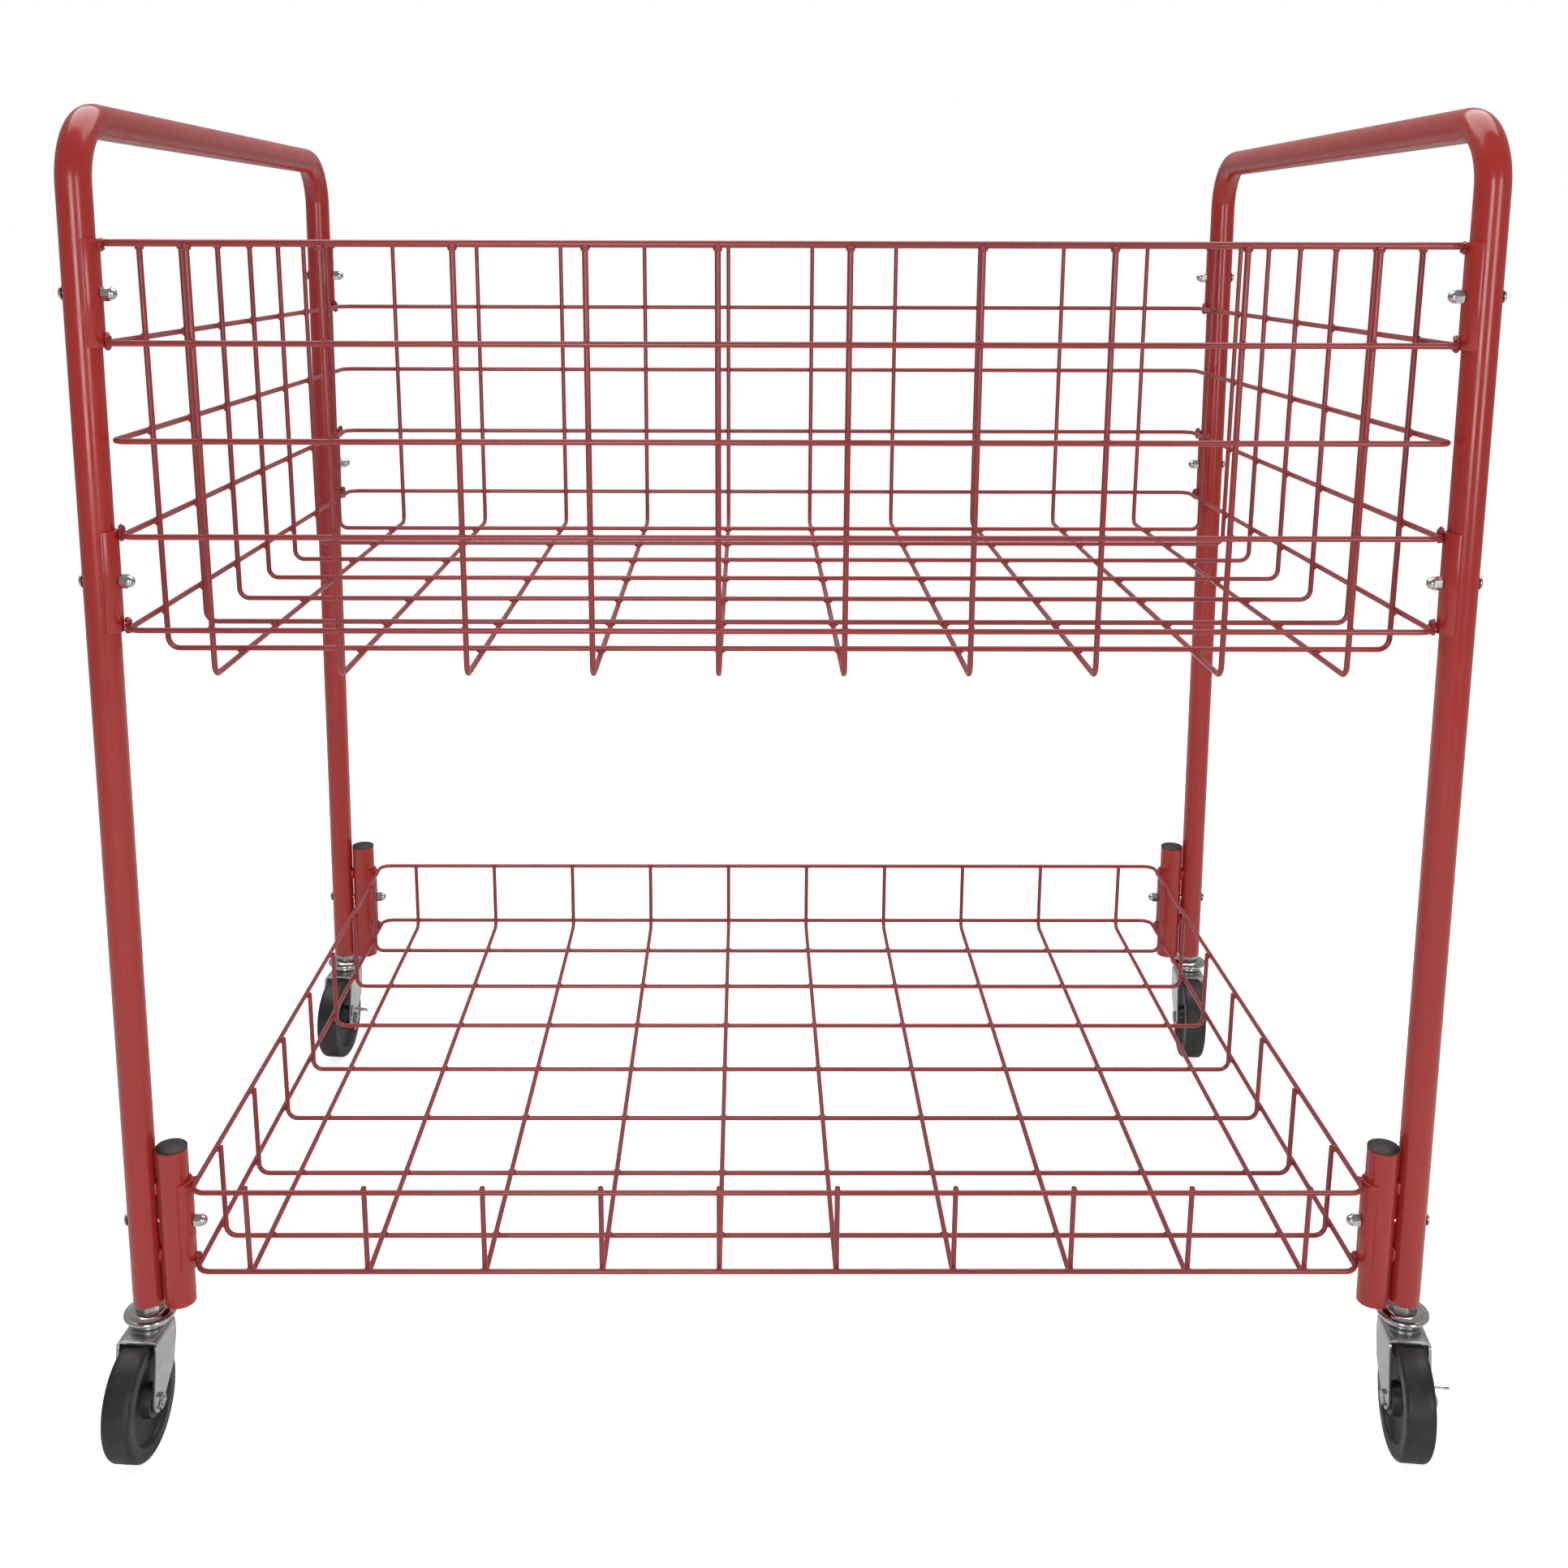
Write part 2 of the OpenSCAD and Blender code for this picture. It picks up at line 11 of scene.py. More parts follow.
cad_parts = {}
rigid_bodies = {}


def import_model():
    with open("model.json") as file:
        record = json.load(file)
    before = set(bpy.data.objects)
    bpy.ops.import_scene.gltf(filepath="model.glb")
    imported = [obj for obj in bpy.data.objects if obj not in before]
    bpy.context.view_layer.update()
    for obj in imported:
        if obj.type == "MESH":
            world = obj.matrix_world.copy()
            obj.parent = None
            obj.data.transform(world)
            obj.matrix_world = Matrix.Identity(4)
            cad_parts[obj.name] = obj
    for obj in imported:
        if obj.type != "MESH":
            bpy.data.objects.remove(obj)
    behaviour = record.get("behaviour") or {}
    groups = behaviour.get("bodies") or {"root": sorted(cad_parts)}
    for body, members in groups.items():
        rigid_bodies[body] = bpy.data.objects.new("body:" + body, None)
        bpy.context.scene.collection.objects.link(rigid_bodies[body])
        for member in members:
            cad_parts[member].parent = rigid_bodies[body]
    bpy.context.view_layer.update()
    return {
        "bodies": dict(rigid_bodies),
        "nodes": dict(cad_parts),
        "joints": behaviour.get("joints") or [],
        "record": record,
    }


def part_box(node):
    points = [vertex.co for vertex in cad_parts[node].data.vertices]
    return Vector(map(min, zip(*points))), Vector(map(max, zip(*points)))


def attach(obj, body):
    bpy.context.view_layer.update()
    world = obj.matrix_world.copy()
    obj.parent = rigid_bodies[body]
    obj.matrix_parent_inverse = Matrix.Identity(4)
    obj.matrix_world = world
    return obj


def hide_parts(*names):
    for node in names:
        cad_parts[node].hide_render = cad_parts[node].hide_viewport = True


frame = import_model()

MM = 0.001
SIDES = (-1, 1)
CORNERS = {
    "front_left": (-1, -1),
    "front_right": (1, -1),
    "back_left": (-1, 1),
    "back_right": (1, 1),
}
UP = Vector((0, 0, 1))

# ---- sizes read from the frame -------------------------------------------------------------

JOINTS = {j["name"]: j for j in frame["joints"]}
MOUNTS = {m["name"]: m for m in frame["record"]["mounts"]}

leg_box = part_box("end_frame_right")
stub_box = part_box("stub_tube_front_right")
foot = Vector(JOINTS["swivel_turn_front_right"]["pos_m"])
handle = Vector(MOUNTS["right_handle"]["pos_m"])
TUBE_R = (stub_box[1].y - stub_box[0].y) / 2
TUBE_WALL = 1.8 * MM
HANDLE_BEND = 50 * MM
FOOT_X = foot.x
LEG_Y = leg_box[1].y - TUBE_R
LEAN = math.atan((foot.x - handle.x) / (handle.z - leg_box[0].z))
LEG_BOTTOM = leg_box[0].z + TUBE_R * math.sin(LEAN)
HANDLE_Z = LEG_BOTTOM + (handle.z - LEG_BOTTOM) / math.cos(LEAN)
STUB_IN = TUBE_R * 2 + 1 * MM
STUB_TOP = stub_box[1].z + (STUB_IN - TUBE_R) * math.sin(LEAN)

WIRE_R = 2.35 * MM
RIM_R = 2.75 * MM
WIRE_STEP = 4.75 * MM
FLOOR_BEND = 9.35 * MM
RING_CORNER = 12 * MM
CROSS_WIRES = 10
LONG_WIRES = 7

SADDLE_ARC = math.radians(120)
SADDLE_IN = TUBE_R + 0.1 * MM
SADDLE_OUT = SADDLE_IN + 2.8 * MM

NUT_AF = 10 * MM
AXLE_HEAD_AF = 12 * MM


# ---- mesh building kit ---------------------------------------------------------------------


class Shape:
    """Vertices and faces of one piece, gathered from several closed shells. Everything that is
    added lands in the frame that the shape has at that moment."""

    def __init__(self, frame=None):
        self.frame = frame or Matrix.Identity(4)
        self.verts = []
        self.faces = []

    def add(self, verts, faces, place=None):
        start = len(self.verts)
        place = self.frame @ place if place else self.frame
        self.verts += [place @ Vector(v) for v in verts]
        self.faces += [[start + i for i in f] for f in faces]
        return self


def bent(points, bend, steps=8, closed=False):
    """The centre line through the points, with a round bend of one radius at each corner."""
    points = [Vector(p) for p in points]
    count = len(points)
    path = []
    for i, corner in enumerate(points):
        if not closed and i in (0, count - 1):
            path.append(corner)
            continue
        back = (points[i - 1] - corner).normalized()
        ahead = (points[(i + 1) % count] - corner).normalized()
        half = back.angle(ahead) / 2
        centre = corner + (back + ahead).normalized() * (bend / math.sin(half))
        start = corner + back * (bend / math.tan(half)) - centre
        axis = back.cross(ahead)
        for k in range(steps + 1):
            turn = Matrix.Rotation(-(math.pi - 2 * half) * k / steps, 3, axis)
            path.append(centre + turn @ start)
    return path


def tangents(path, closed):
    count = len(path)
    found = []
    for i in range(count):
        before = path[i - 1] if closed or i > 0 else path[i]
        after = path[(i + 1) % count] if closed or i < count - 1 else path[i]
        found.append((after - before).normalized())
    return found


def ring_frames(path, closed):
    """At each point of the path, two directions across it that don't twist along the way."""
    along = tangents(path, closed)
    first = along[0].cross(UP if abs(along[0].z) < 0.9 else Vector((0, 1, 0))).normalized()
    frames = []
    for i, tangent in enumerate(along):
        if i:
            first = along[i - 1].rotation_difference(tangent) @ first
            first = (first - tangent * first.dot(tangent)).normalized()
        frames.append((first.copy(), tangent.cross(first)))
    return frames


def tube_faces(rings, sides, closed=False):
    faces = []
    for i in range(rings if closed else rings - 1):
        a = i * sides
        b = (i + 1) % rings * sides
        for j in range(sides):
            k = (j + 1) % sides
            faces.append([a + j, a + k, b + k, b + j])
    return faces


def bar(shape, path, radius, sides=16, closed=False, tip=0.0, swell=None, bore=0.0):
    """A solid round bar along the path. tip is how far its ends are rounded off, bore is the
    radius of a hole in each end, and swell scales the radius by the point's number and the
    direction across the bar."""
    frames = ring_frames(path, closed)
    stations = [(p, f, 1.0, i) for i, (p, f) in enumerate(zip(path, frames))]
    if not closed:
        finish, given = (bored_end, bore) if bore else (rounded_end, tip)
        start, stop = (finish(stations, at_start, given, radius) for at_start in (True, False))
        stations = start + stations[1:-1] + stop
    verts = []
    for point, (across, over), scale, number in stations:
        for j in range(sides):
            a = 2 * math.pi * j / sides
            direction = across * math.cos(a) + over * math.sin(a)
            r = radius * scale * (swell(number, direction) if swell else 1)
            verts.append(point + direction * r)
    faces = tube_faces(len(stations), sides, closed)
    if not closed:
        faces.append(list(range(sides))[::-1])
        last = (len(stations) - 1) * sides
        faces.append([last + j for j in range(sides)])
    return shape.add(verts, faces)


def rounded_end(stations, at_start, tip, radius):
    """The end station drawn out into a few that round the bar's end over the length tip."""
    point, frames, _, number = stations[0 if at_start else -1]
    neighbour = stations[1 if at_start else -2][0]
    inward = (neighbour - point).normalized()
    tip = tip or 0.12 * radius
    found = []
    for k in range(5):
        a = math.pi / 2 * (k + 0.4) / 4.4
        shrink = 1 - tip / radius * (1 - math.sin(a)) if tip < radius else math.sin(a)
        found.append((point + inward * tip * (1 - math.cos(math.pi / 2 - a)), frames, shrink, number))
    return found if at_start else found[::-1]


def bored_end(stations, at_start, bore, radius):
    """The end station as an open bore with softened lips: down the outside, then up inside."""
    point, frames, _, number = stations[0 if at_start else -1]
    inward = (stations[1 if at_start else -2][0] - point).normalized()
    soft = 0.4 * MM
    depth = 30 * MM
    turned = [(depth, bore), (soft / 2, bore), (0, bore + soft / 2), (0, radius - soft), (soft, radius)]
    found = [(point + inward * rise, frames, r / radius, number) for rise, r in turned]
    return found if at_start else found[::-1]


def unit_circle(steps):
    angles = [2 * math.pi * j / steps for j in range(steps)]
    return [(math.cos(a), math.sin(a)) for a in angles]


def lathe(shape, profile, place=None, steps=64, closed=True):
    """Turns a profile of (radius, height) points about Z. A closed profile gives a ring."""
    count = len(profile)
    verts = []
    for r, h in profile:
        verts += [(r * x, r * y, h) for x, y in unit_circle(steps)]
    faces = tube_faces(count, steps, closed)
    if not closed:
        faces.append(list(range(steps))[::-1])
        faces.append([(count - 1) * steps + j for j in range(steps)])
    return shape.add(verts, faces, place)


def arc(centre, radius, start, end, steps):
    """Points of a profile's round stretch, angles in degrees."""
    points = []
    for k in range(steps + 1):
        a = math.radians(start + (end - start) * k / steps)
        points.append((centre[0] + radius * math.cos(a), centre[1] + radius * math.sin(a)))
    return points


def blob(shape, centre, axes, power=2.0, rough=0.0, seed=0, rows=8, sides=14):
    """A closed rounded lump. axes are its three half widths as vectors, power 2 is round and
    nearer 1 is a diamond in the plane of the first two, and rough makes it uneven."""
    across, over, normal = axes
    verts = []
    for i in range(rows + 1):
        tilt = math.pi * (i / rows - 0.5)
        for j in range(sides):
            a = 2 * math.pi * j / sides
            c, s = math.cos(a), math.sin(a)
            reach = (abs(c) ** power + abs(s) ** power) ** (-1 / power)
            flat = max(math.cos(tilt), 0.02)
            p = (across * c + over * s) * reach * flat + normal * math.sin(tilt)
            if rough:
                lump = noise.noise(Vector((c, s, math.sin(tilt))) * 1.3 + Vector((seed * 3.7, seed * 1.9, 0)))
                p *= 1 + rough * lump
            verts.append(Vector(centre) + p)
    faces = tube_faces(rows + 1, sides)
    faces.append(list(range(sides))[::-1])
    faces.append([rows * sides + j for j in range(sides)])
    return shape.add(verts, faces)


def plate(shape, outline, thickness, bevel, place=None):
    """A flat plate with softened edges: the outline lies in XY and the plate rises along Z."""
    bm = bmesh.new()
    base = [bm.verts.new((x, y, 0)) for x, y in outline]
    top = [bm.verts.new((x, y, thickness)) for x, y in outline]
    count = len(outline)
    bm.faces.new(base[::-1])
    bm.faces.new(top)
    rims = []
    for i in range(count):
        k = (i + 1) % count
        bm.faces.new((base[i], base[k], top[k], top[i]))
    bm.normal_update()
    for e in bm.edges:
        if e.calc_face_angle(0) > math.radians(28):
            rims.append(e)
    bmesh.ops.bevel(
        bm, geom=rims, offset=bevel, segments=2, profile=0.5, affect="EDGES", clamp_overlap=True
    )
    bm.verts.ensure_lookup_table()
    bm.verts.index_update()
    verts = [v.co.copy() for v in bm.verts]
    faces = [[v.index for v in f.verts] for f in bm.faces]
    bm.free()
    return shape.add(verts, faces, place)


def hexagon(shape, af, height, place=None, bore=0.0, steps=48):
    """A hexagon nut or bolt head with its upper corners turned off to a circle."""
    flat = af / 2
    crown_r = flat * 0.94
    rings = [[], [], [], []]
    for j in range(steps):
        a = 2 * math.pi * j / steps
        off = (a + math.pi / 6) % (math.pi / 3) - math.pi / 6
        r = flat / math.cos(off)
        edge = height - (r - crown_r) * math.tan(math.radians(28))
        x, y = math.cos(a), math.sin(a)
        rings[0].append((x * (r - 0.2 * MM), y * (r - 0.2 * MM), 0))
        rings[1].append((x * r, y * r, 0.2 * MM))
        rings[2].append((x * r, y * r, edge))
        rings[3].append((x * crown_r, y * crown_r, height))
    if bore:
        circle = unit_circle(steps)
        rings.append([(x * (bore + 0.4 * MM), y * (bore + 0.4 * MM), height) for x, y in circle])
        rings.append([(x * bore, y * bore, height - 0.4 * MM) for x, y in circle])
        rings.append([(x * bore, y * bore, 0) for x, y in circle])
    verts = [v for ring in rings for v in ring]
    faces = tube_faces(len(rings), steps, closed=bool(bore))
    if not bore:
        faces.append(list(range(steps))[::-1])
        faces.append([3 * steps + j for j in range(steps)])
    return shape.add(verts, faces, place)


def piece(name, shape, material, body, nodes=(), sharp=38, sheet=0.0, bevel=0.0):
    """Makes the shape a mesh object that rides on a body and stands for CAD nodes. sheet
    thickens a surface to that gauge, and bevel softens its edges."""
    mesh = bpy.data.meshes.new(name)
    mesh.from_pydata(shape.verts, [], shape.faces)
    bm = bmesh.new()
    bm.from_mesh(mesh)
    bmesh.ops.recalc_face_normals(bm, faces=bm.faces)
    bm.to_mesh(mesh)
    bm.free()
    mesh.polygons.foreach_set("use_smooth", [True] * len(mesh.polygons))
    mesh.set_sharp_from_angle(angle=math.radians(sharp))
    mesh.materials.append(material)
    obj = bpy.data.objects.new(name, mesh)
    bpy.context.scene.collection.objects.link(obj)
    if sheet:
        solid = obj.modifiers.new("gauge", "SOLIDIFY")
        solid.thickness = sheet
        solid.offset = 0
        solid.use_even_offset = True
    if bevel:
        soften = obj.modifiers.new("edges", "BEVEL")
        soften.width = bevel
        soften.segments = 2
        soften.limit_method = "ANGLE"
        soften.angle_limit = math.radians(40)
        soften.harden_normals = False
    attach(obj, body)
    if nodes:
        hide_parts(*nodes)
    return obj


# ---- materials -----------------------------------------------------------------------------


class Graph:
    """A material's node tree, with a Principled surface and object-space coordinates."""

    def __init__(self, name):
        self.material = bpy.data.materials.new(name)
        self.material.use_nodes = True
        self.tree = self.material.node_tree
        self.tree.nodes.clear()
        self.surface = self.tree.nodes.new("ShaderNodeBsdfPrincipled")
        output = self.tree.nodes.new("ShaderNodeOutputMaterial")
        self.tree.links.new(self.surface.outputs["BSDF"], output.inputs["Surface"])
        self.coords = self.tree.nodes.new("ShaderNodeTexCoord").outputs["Object"]

    def put(self, socket, value):
        if isinstance(value, bpy.types.NodeSocket):
            self.tree.links.new(value, socket)
        else:
            socket.default_value = value

    def set(self, **values):
        for name, value in values.items():
            self.put(self.surface.inputs[name.replace("_", " ")], value)

    def noise(self, scale, detail=3.0, roughness=0.5, stretch=None):
        node = self.tree.nodes.new("ShaderNodeTexNoise")
        self.put(node.inputs["Vector"], self.scaled(stretch) if stretch else self.coords)
        node.inputs["Scale"].default_value = scale
        node.inputs["Detail"].default_value = detail
        node.inputs["Roughness"].default_value = roughness
        return node.outputs["Fac"]

    def cells(self, scale):
        node = self.tree.nodes.new("ShaderNodeTexVoronoi")
        node.feature = "F1"
        self.put(node.inputs["Vector"], self.coords)
        node.inputs["Scale"].default_value = scale
        return node.outputs["Distance"]

    def scaled(self, stretch):
        node = self.tree.nodes.new("ShaderNodeMapping")
        self.put(node.inputs["Vector"], self.coords)
        node.inputs["Scale"].default_value = stretch
        return node.outputs["Vector"]

    def remap(self, value, low, high, to_low, to_high):
        node = self.tree.nodes.new("ShaderNodeMapRange")
        node.interpolation_type = "SMOOTHSTEP"
        for socket, given in zip(node.inputs, (value, low, high, to_low, to_high)):
            self.put(socket, given)
        return node.outputs["Result"]

    def math(self, operation, a, b):
        node = self.tree.nodes.new("ShaderNodeMath")
        node.operation = operation
        self.put(node.inputs[0], a)
        self.put(node.inputs[1], b)
        return node.outputs[0]

    def mix(self, share, a, b):
        node = self.tree.nodes.new("ShaderNodeMix")
        node.data_type = "RGBA"
        self.put(node.inputs["Factor"], share)
        self.put(node.inputs["A"], a)
        self.put(node.inputs["B"], b)
        return node.outputs["Result"]

    def bump(self, height, strength, distance):
        node = self.tree.nodes.new("ShaderNodeBump")
        self.put(node.inputs["Height"], height)
        node.inputs["Strength"].default_value = strength
        node.inputs["Distance"].default_value = distance
        return node.outputs["Normal"]


def rgb(r, g, b):
    return (r, g, b, 1.0)


def red_powder(name, tone, deep, gloss):
    """Powder coat: fine orange peel, slow changes of depth, and rare pin marks."""
    g = Graph(name)
    slow = g.remap(g.noise(3.5, 2.0), 0.3, 0.7, 0.0, 1.0)
    fine = g.remap(g.noise(420.0, 3.0), 0.3, 0.7, 0.0, 0.16)
    colour = g.mix(slow, tone, deep)
    colour = g.mix(fine, colour, rgb(*[c * 0.75 for c in deep[:3]]))
    marks = g.remap(g.cells(55.0), 0.0, 0.055, 1.0, 0.0)
    rare = g.remap(g.noise(23.0, 1.0), 0.66, 0.72, 0.0, 0.6)
    colour = g.mix(g.math("MULTIPLY", marks, rare), colour, rgb(0.10, 0.02, 0.02))
    peel = g.noise(650.0, 2.0, 0.45)
    g.set(
        Base_Color=colour,
        Roughness=g.remap(g.noise(38.0, 4.0), 0.3, 0.7, gloss, gloss + 0.13),
        Normal=g.bump(peel, 0.02, 0.1 * MM),
        Coat_Weight=0.2,
        Coat_Roughness=0.15,
    )
    return g.material


def chrome():
    """Bright plate with hair scratches, faint haze and darker specks."""
    g = Graph("bright_chrome")
    haze = g.noise(160.0, 4.0)
    scratches = g.noise(900.0, 2.0, 0.6, stretch=(1.0, 1.0, 6.0))
    g.set(
        Base_Color=g.mix(g.remap(haze, 0.35, 0.75, 0.0, 0.6), rgb(0.70, 0.69, 0.69), rgb(0.36, 0.35, 0.35)),
        Metallic=1.0,
        Roughness=g.remap(haze, 0.3, 0.7, 0.08, 0.2),
        Normal=g.bump(scratches, 0.08, 0.05 * MM),
    )
    return g.material


def zinc(name, light, dark, low, high):
    """Bright zinc plate: slow cloudy patches, a faint fine mottle and grain."""
    g = Graph(name)
    cloud = g.noise(95.0, 4.0, 0.55)
    mottle = g.remap(g.noise(420.0, 1.0), 0.3, 0.7, 0.0, 1.0)
    tone = g.mix(g.remap(cloud, 0.3, 0.7, 0.0, 1.0), light, dark)
    tone = g.mix(g.math("MULTIPLY", mottle, 0.10), tone, dark)
    grain = g.noise(1500.0, 2.0)
    g.set(
        Base_Color=tone,
        Metallic=1.0,
        Roughness=g.remap(cloud, 0.3, 0.7, low, high),
        Normal=g.bump(grain, 0.10, 0.06 * MM),
    )
    return g.material


def wheel_black():
    """Hard satin wheel: dusty scuffs, mould grain and tiny light specks on the tread."""
    g = Graph("wheel_black")
    dust = g.remap(g.noise(60.0, 6.0, 0.65), 0.45, 0.75, 0.0, 0.55)
    colour = g.mix(dust, rgb(0.015, 0.014, 0.013), rgb(0.055, 0.048, 0.043))
    specks = g.remap(g.cells(330.0), 0.0, 0.08, 0.5, 0.0)
    some = g.remap(g.noise(75.0, 1.0), 0.6, 0.66, 0.0, 1.0)
    colour = g.mix(g.math("MULTIPLY", specks, some), colour, rgb(0.30, 0.27, 0.24))
    g.set(
        Base_Color=colour,
        Roughness=g.remap(g.noise(45.0, 4.0), 0.3, 0.7, 0.34, 0.52),
        Normal=g.bump(g.noise(1100.0, 3.0), 0.22, 0.12 * MM),
        Specular_IOR_Level=0.5,
    )
    return g.material


def cap_plastic():
    """Moulded plastic end caps with a fine leathery grain."""
    g = Graph("cap_plastic")
    cloud = g.noise(120.0, 4.0)
    g.set(
        Base_Color=g.mix(
            g.remap(cloud, 0.35, 0.7, 0.0, 1.0), rgb(0.020, 0.016, 0.016), rgb(0.042, 0.034, 0.033)
        ),
        Roughness=g.remap(cloud, 0.3, 0.7, 0.38, 0.55),
        Normal=g.bump(g.cells(900.0), 0.25, 0.12 * MM),
    )
    return g.material


def pale_floor():
    """White sweep, lit so far up that it reads as plain white, with a faint contact shadow."""
    g = Graph("pale_floor")
    cloud = g.noise(1.3, 3.0)
    seen = g.tree.nodes.new("ShaderNodeLightPath").outputs["Is Camera Ray"]
    g.set(
        Base_Color=g.mix(g.remap(cloud, 0.3, 0.7, 0.0, 1.0), rgb(0.90, 0.90, 0.90), rgb(0.92, 0.92, 0.92)),
        Roughness=0.9,
        Specular_IOR_Level=0.1,
        Emission_Color=rgb(1.0, 1.0, 1.0),
        Emission_Strength=g.math("MULTIPLY", seen, 0.75),
    )
    return g.material


PAINT = red_powder("red_tube_paint", rgb(0.46, 0.030, 0.024), rgb(0.41, 0.027, 0.022), 0.16)
# The wire paint is the tubes' red coat made darker and tinted mauve. The difference is painted shade, not a
# different colour of coat.
SHADED_WIRE_PAINT = red_powder("red_wire_paint_shaded", rgb(0.36, 0.040, 0.042), rgb(0.31, 0.036, 0.038), 0.2)
CHROME = chrome()
PLATE_ZINC = zinc("zinc_plate", rgb(0.56, 0.57, 0.58), rgb(0.49, 0.50, 0.51), 0.28, 0.36)
HARD_ZINC = zinc("zinc_hardware", rgb(0.56, 0.56, 0.56), rgb(0.36, 0.36, 0.36), 0.18, 0.32)
WHEEL = wheel_black()
PLASTIC = cap_plastic()


# ---- end frames and stub tubes -------------------------------------------------------------


def on_frame(side):
    """The leaning frame of one end: its plane is x = 0 and its legs' feet are at LEG_BOTTOM."""
    tilt = Matrix.Rotation(-side * LEAN, 4, "Y")
    return Matrix.Translation((side * FOOT_X, 0, LEG_BOTTOM)) @ tilt @ Matrix.Translation((0, 0, -LEG_BOTTOM))


def leg_x_at(z):
    """Distance from the middle of the cart to a leg's axis at a height."""
    return FOOT_X - (z - LEG_BOTTOM) * math.tan(LEAN)


def handle_frame(side):
    """One bent tube, leg to leg. Its bends are a touch oval, with faint ripples inside them."""
    shape = Shape(on_frame(side))
    points = [(0, -LEG_Y, LEG_BOTTOM), (0, -LEG_Y, HANDLE_Z), (0, LEG_Y, HANDLE_Z), (0, LEG_Y, LEG_BOTTOM)]
    path = bent(points, HANDLE_BEND, 28)

    def swell(number, direction):
        p = path[number]
        beyond = Vector((0, abs(p.y) - (LEG_Y - HANDLE_BEND), p.z - (HANDLE_Z - HANDLE_BEND)))
        if min(beyond.y, beyond.z) <= 0:
            return 1
        turn = math.atan2(beyond.z, beyond.y)
        beyond.y = math.copysign(beyond.y, p.y)
        outward = direction.dot(beyond.normalized())
        window = math.sin(2 * turn)
        oval = -0.035 * window * outward * outward
        ripple = 0.010 * window * max(-outward, 0.0) ** 2 * (math.sin(turn * 26) - 1)
        return 1 + oval + ripple

    return bar(shape, path, TUBE_R, sides=48, swell=swell, bore=TUBE_R - TUBE_WALL)


for side_name, side in (("left", -1), ("right", 1)):
    piece(
        f"handle_frame_{side_name}", handle_frame(side), PAINT, "cart_frame",
        [f"end_frame_{side_name}"],
    )


def at_stub(corner):
    return Matrix.Translation((-corner[0] * STUB_IN, corner[1] * LEG_Y, 0))


def stub_sleeve(corner):
    soft = 0.5 * MM
    bore = TUBE_R - TUBE_WALL
    profile = [
        (TUBE_R, LEG_BOTTOM + soft),
        (TUBE_R, STUB_TOP - soft),
        (TUBE_R - soft, STUB_TOP),
        (bore + soft, STUB_TOP),
        (bore, STUB_TOP - soft),
        (bore, LEG_BOTTOM + soft),
        (bore + soft, LEG_BOTTOM),
        (TUBE_R - soft, LEG_BOTTOM),
    ]
    return lathe(Shape(on_frame(corner[0])), profile, at_stub(corner), 48)


def end_cap(corner):
    """A plug, a rim band on the tube's end, and a low dome with a dimple at the mould gate."""
    plug_r = TUBE_R - TUBE_WALL - 0.05 * MM
    plug_low = STUB_TOP - 12 * MM
    base = STUB_TOP + 0.05 * MM
    rim = 1.5 * MM
    rise = 2.4 * MM
    soft = 0.3 * MM
    gate_r = 0.4 * MM
    shoulder_r = TUBE_R - 0.6 * MM
    profile = [(gate_r, plug_low), (plug_r - 2 * soft, plug_low), (plug_r, plug_low + 2 * soft)]
    profile += [(plug_r, base), (TUBE_R - soft, base), (TUBE_R, base + soft)]
    profile += [(TUBE_R, base + rim - soft), (TUBE_R - soft, base + rim)]
    steps = 11
    for k in range(1, steps):
        share = 1 - k / steps
        profile.append((shoulder_r * share, base + rim + rise * (1 - share * share)))
    profile.append((gate_r, base + rim + rise - 0.15 * MM))
    return lathe(Shape(on_frame(corner[0])), profile, at_stub(corner), 48, closed=False)


for name, corner in CORNERS.items():
    piece(f"stub_sleeve_{name}", stub_sleeve(corner), PAINT, "cart_frame", [f"stub_tube_{name}"])
    piece(f"end_cap_{name}", end_cap(corner), PLASTIC, "cart_frame", [f"stub_cap_{name}"])


# ---- wire baskets --------------------------------------------------------------------------


def spread(count, pitch):
    return [(i - (count - 1) / 2) * pitch for i in range(count)]


class Basket:
    """The planes of one basket, read from its CAD nodes, and the wires that lie in them."""

    def __init__(self, name, cross_pitch, long_pitch):
        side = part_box(f"{name}_basket_back")
        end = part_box(f"{name}_basket_right")
        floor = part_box(f"{name}_basket_floor")
        self.name = name
        self.ring_y = side[1].y - WIRE_R
        self.cross_y = self.ring_y - WIRE_STEP
        self.ring_x = side[1].x - WIRE_R
        self.long_x = end[0].x + WIRE_R
        self.floor_low = floor[0].z + WIRE_R
        self.top = side[1].z
        self.bottom = side[0].z
        self.xs = spread(CROSS_WIRES, cross_pitch)
        self.ys = spread(LONG_WIRES, long_pitch)

    def loop(self, x, y, z):
        return bent([(-x, -y, z), (x, -y, z), (x, y, z), (-x, y, z)], RING_CORNER, 8, closed=True)

    def cross_path(self, x, z, tip):
        y = self.cross_y
        return bent([(x, -y, tip), (x, -y, z), (x, y, z), (x, y, tip)], FLOOR_BEND, 8)

    def long_path(self, y, z, tip):
        x = self.long_x
        return bent([(-x, y, tip), (-x, y, z), (x, y, z), (x, y, tip)], FLOOR_BEND, 8)


upper = Basket("upper", 100 * MM, 100 * MM)
upper.rim_z = upper.top - RIM_R
upper.cross_z = upper.floor_low
upper.long_z = upper.cross_z + WIRE_STEP
upper.rings = [upper.rim_z - k * 74.5 * MM for k in range(1, 5)]
upper.tip = upper.rim_z - RIM_R - 0.05 * MM

lower = Basket("lower", 101 * MM, 103 * MM)
lower.long_z = lower.floor_low
lower.cross_z = lower.long_z + WIRE_STEP
lower.rings = [lower.bottom + WIRE_R, lower.bottom + WIRE_R + 75 * MM]
lower.tip = lower.top


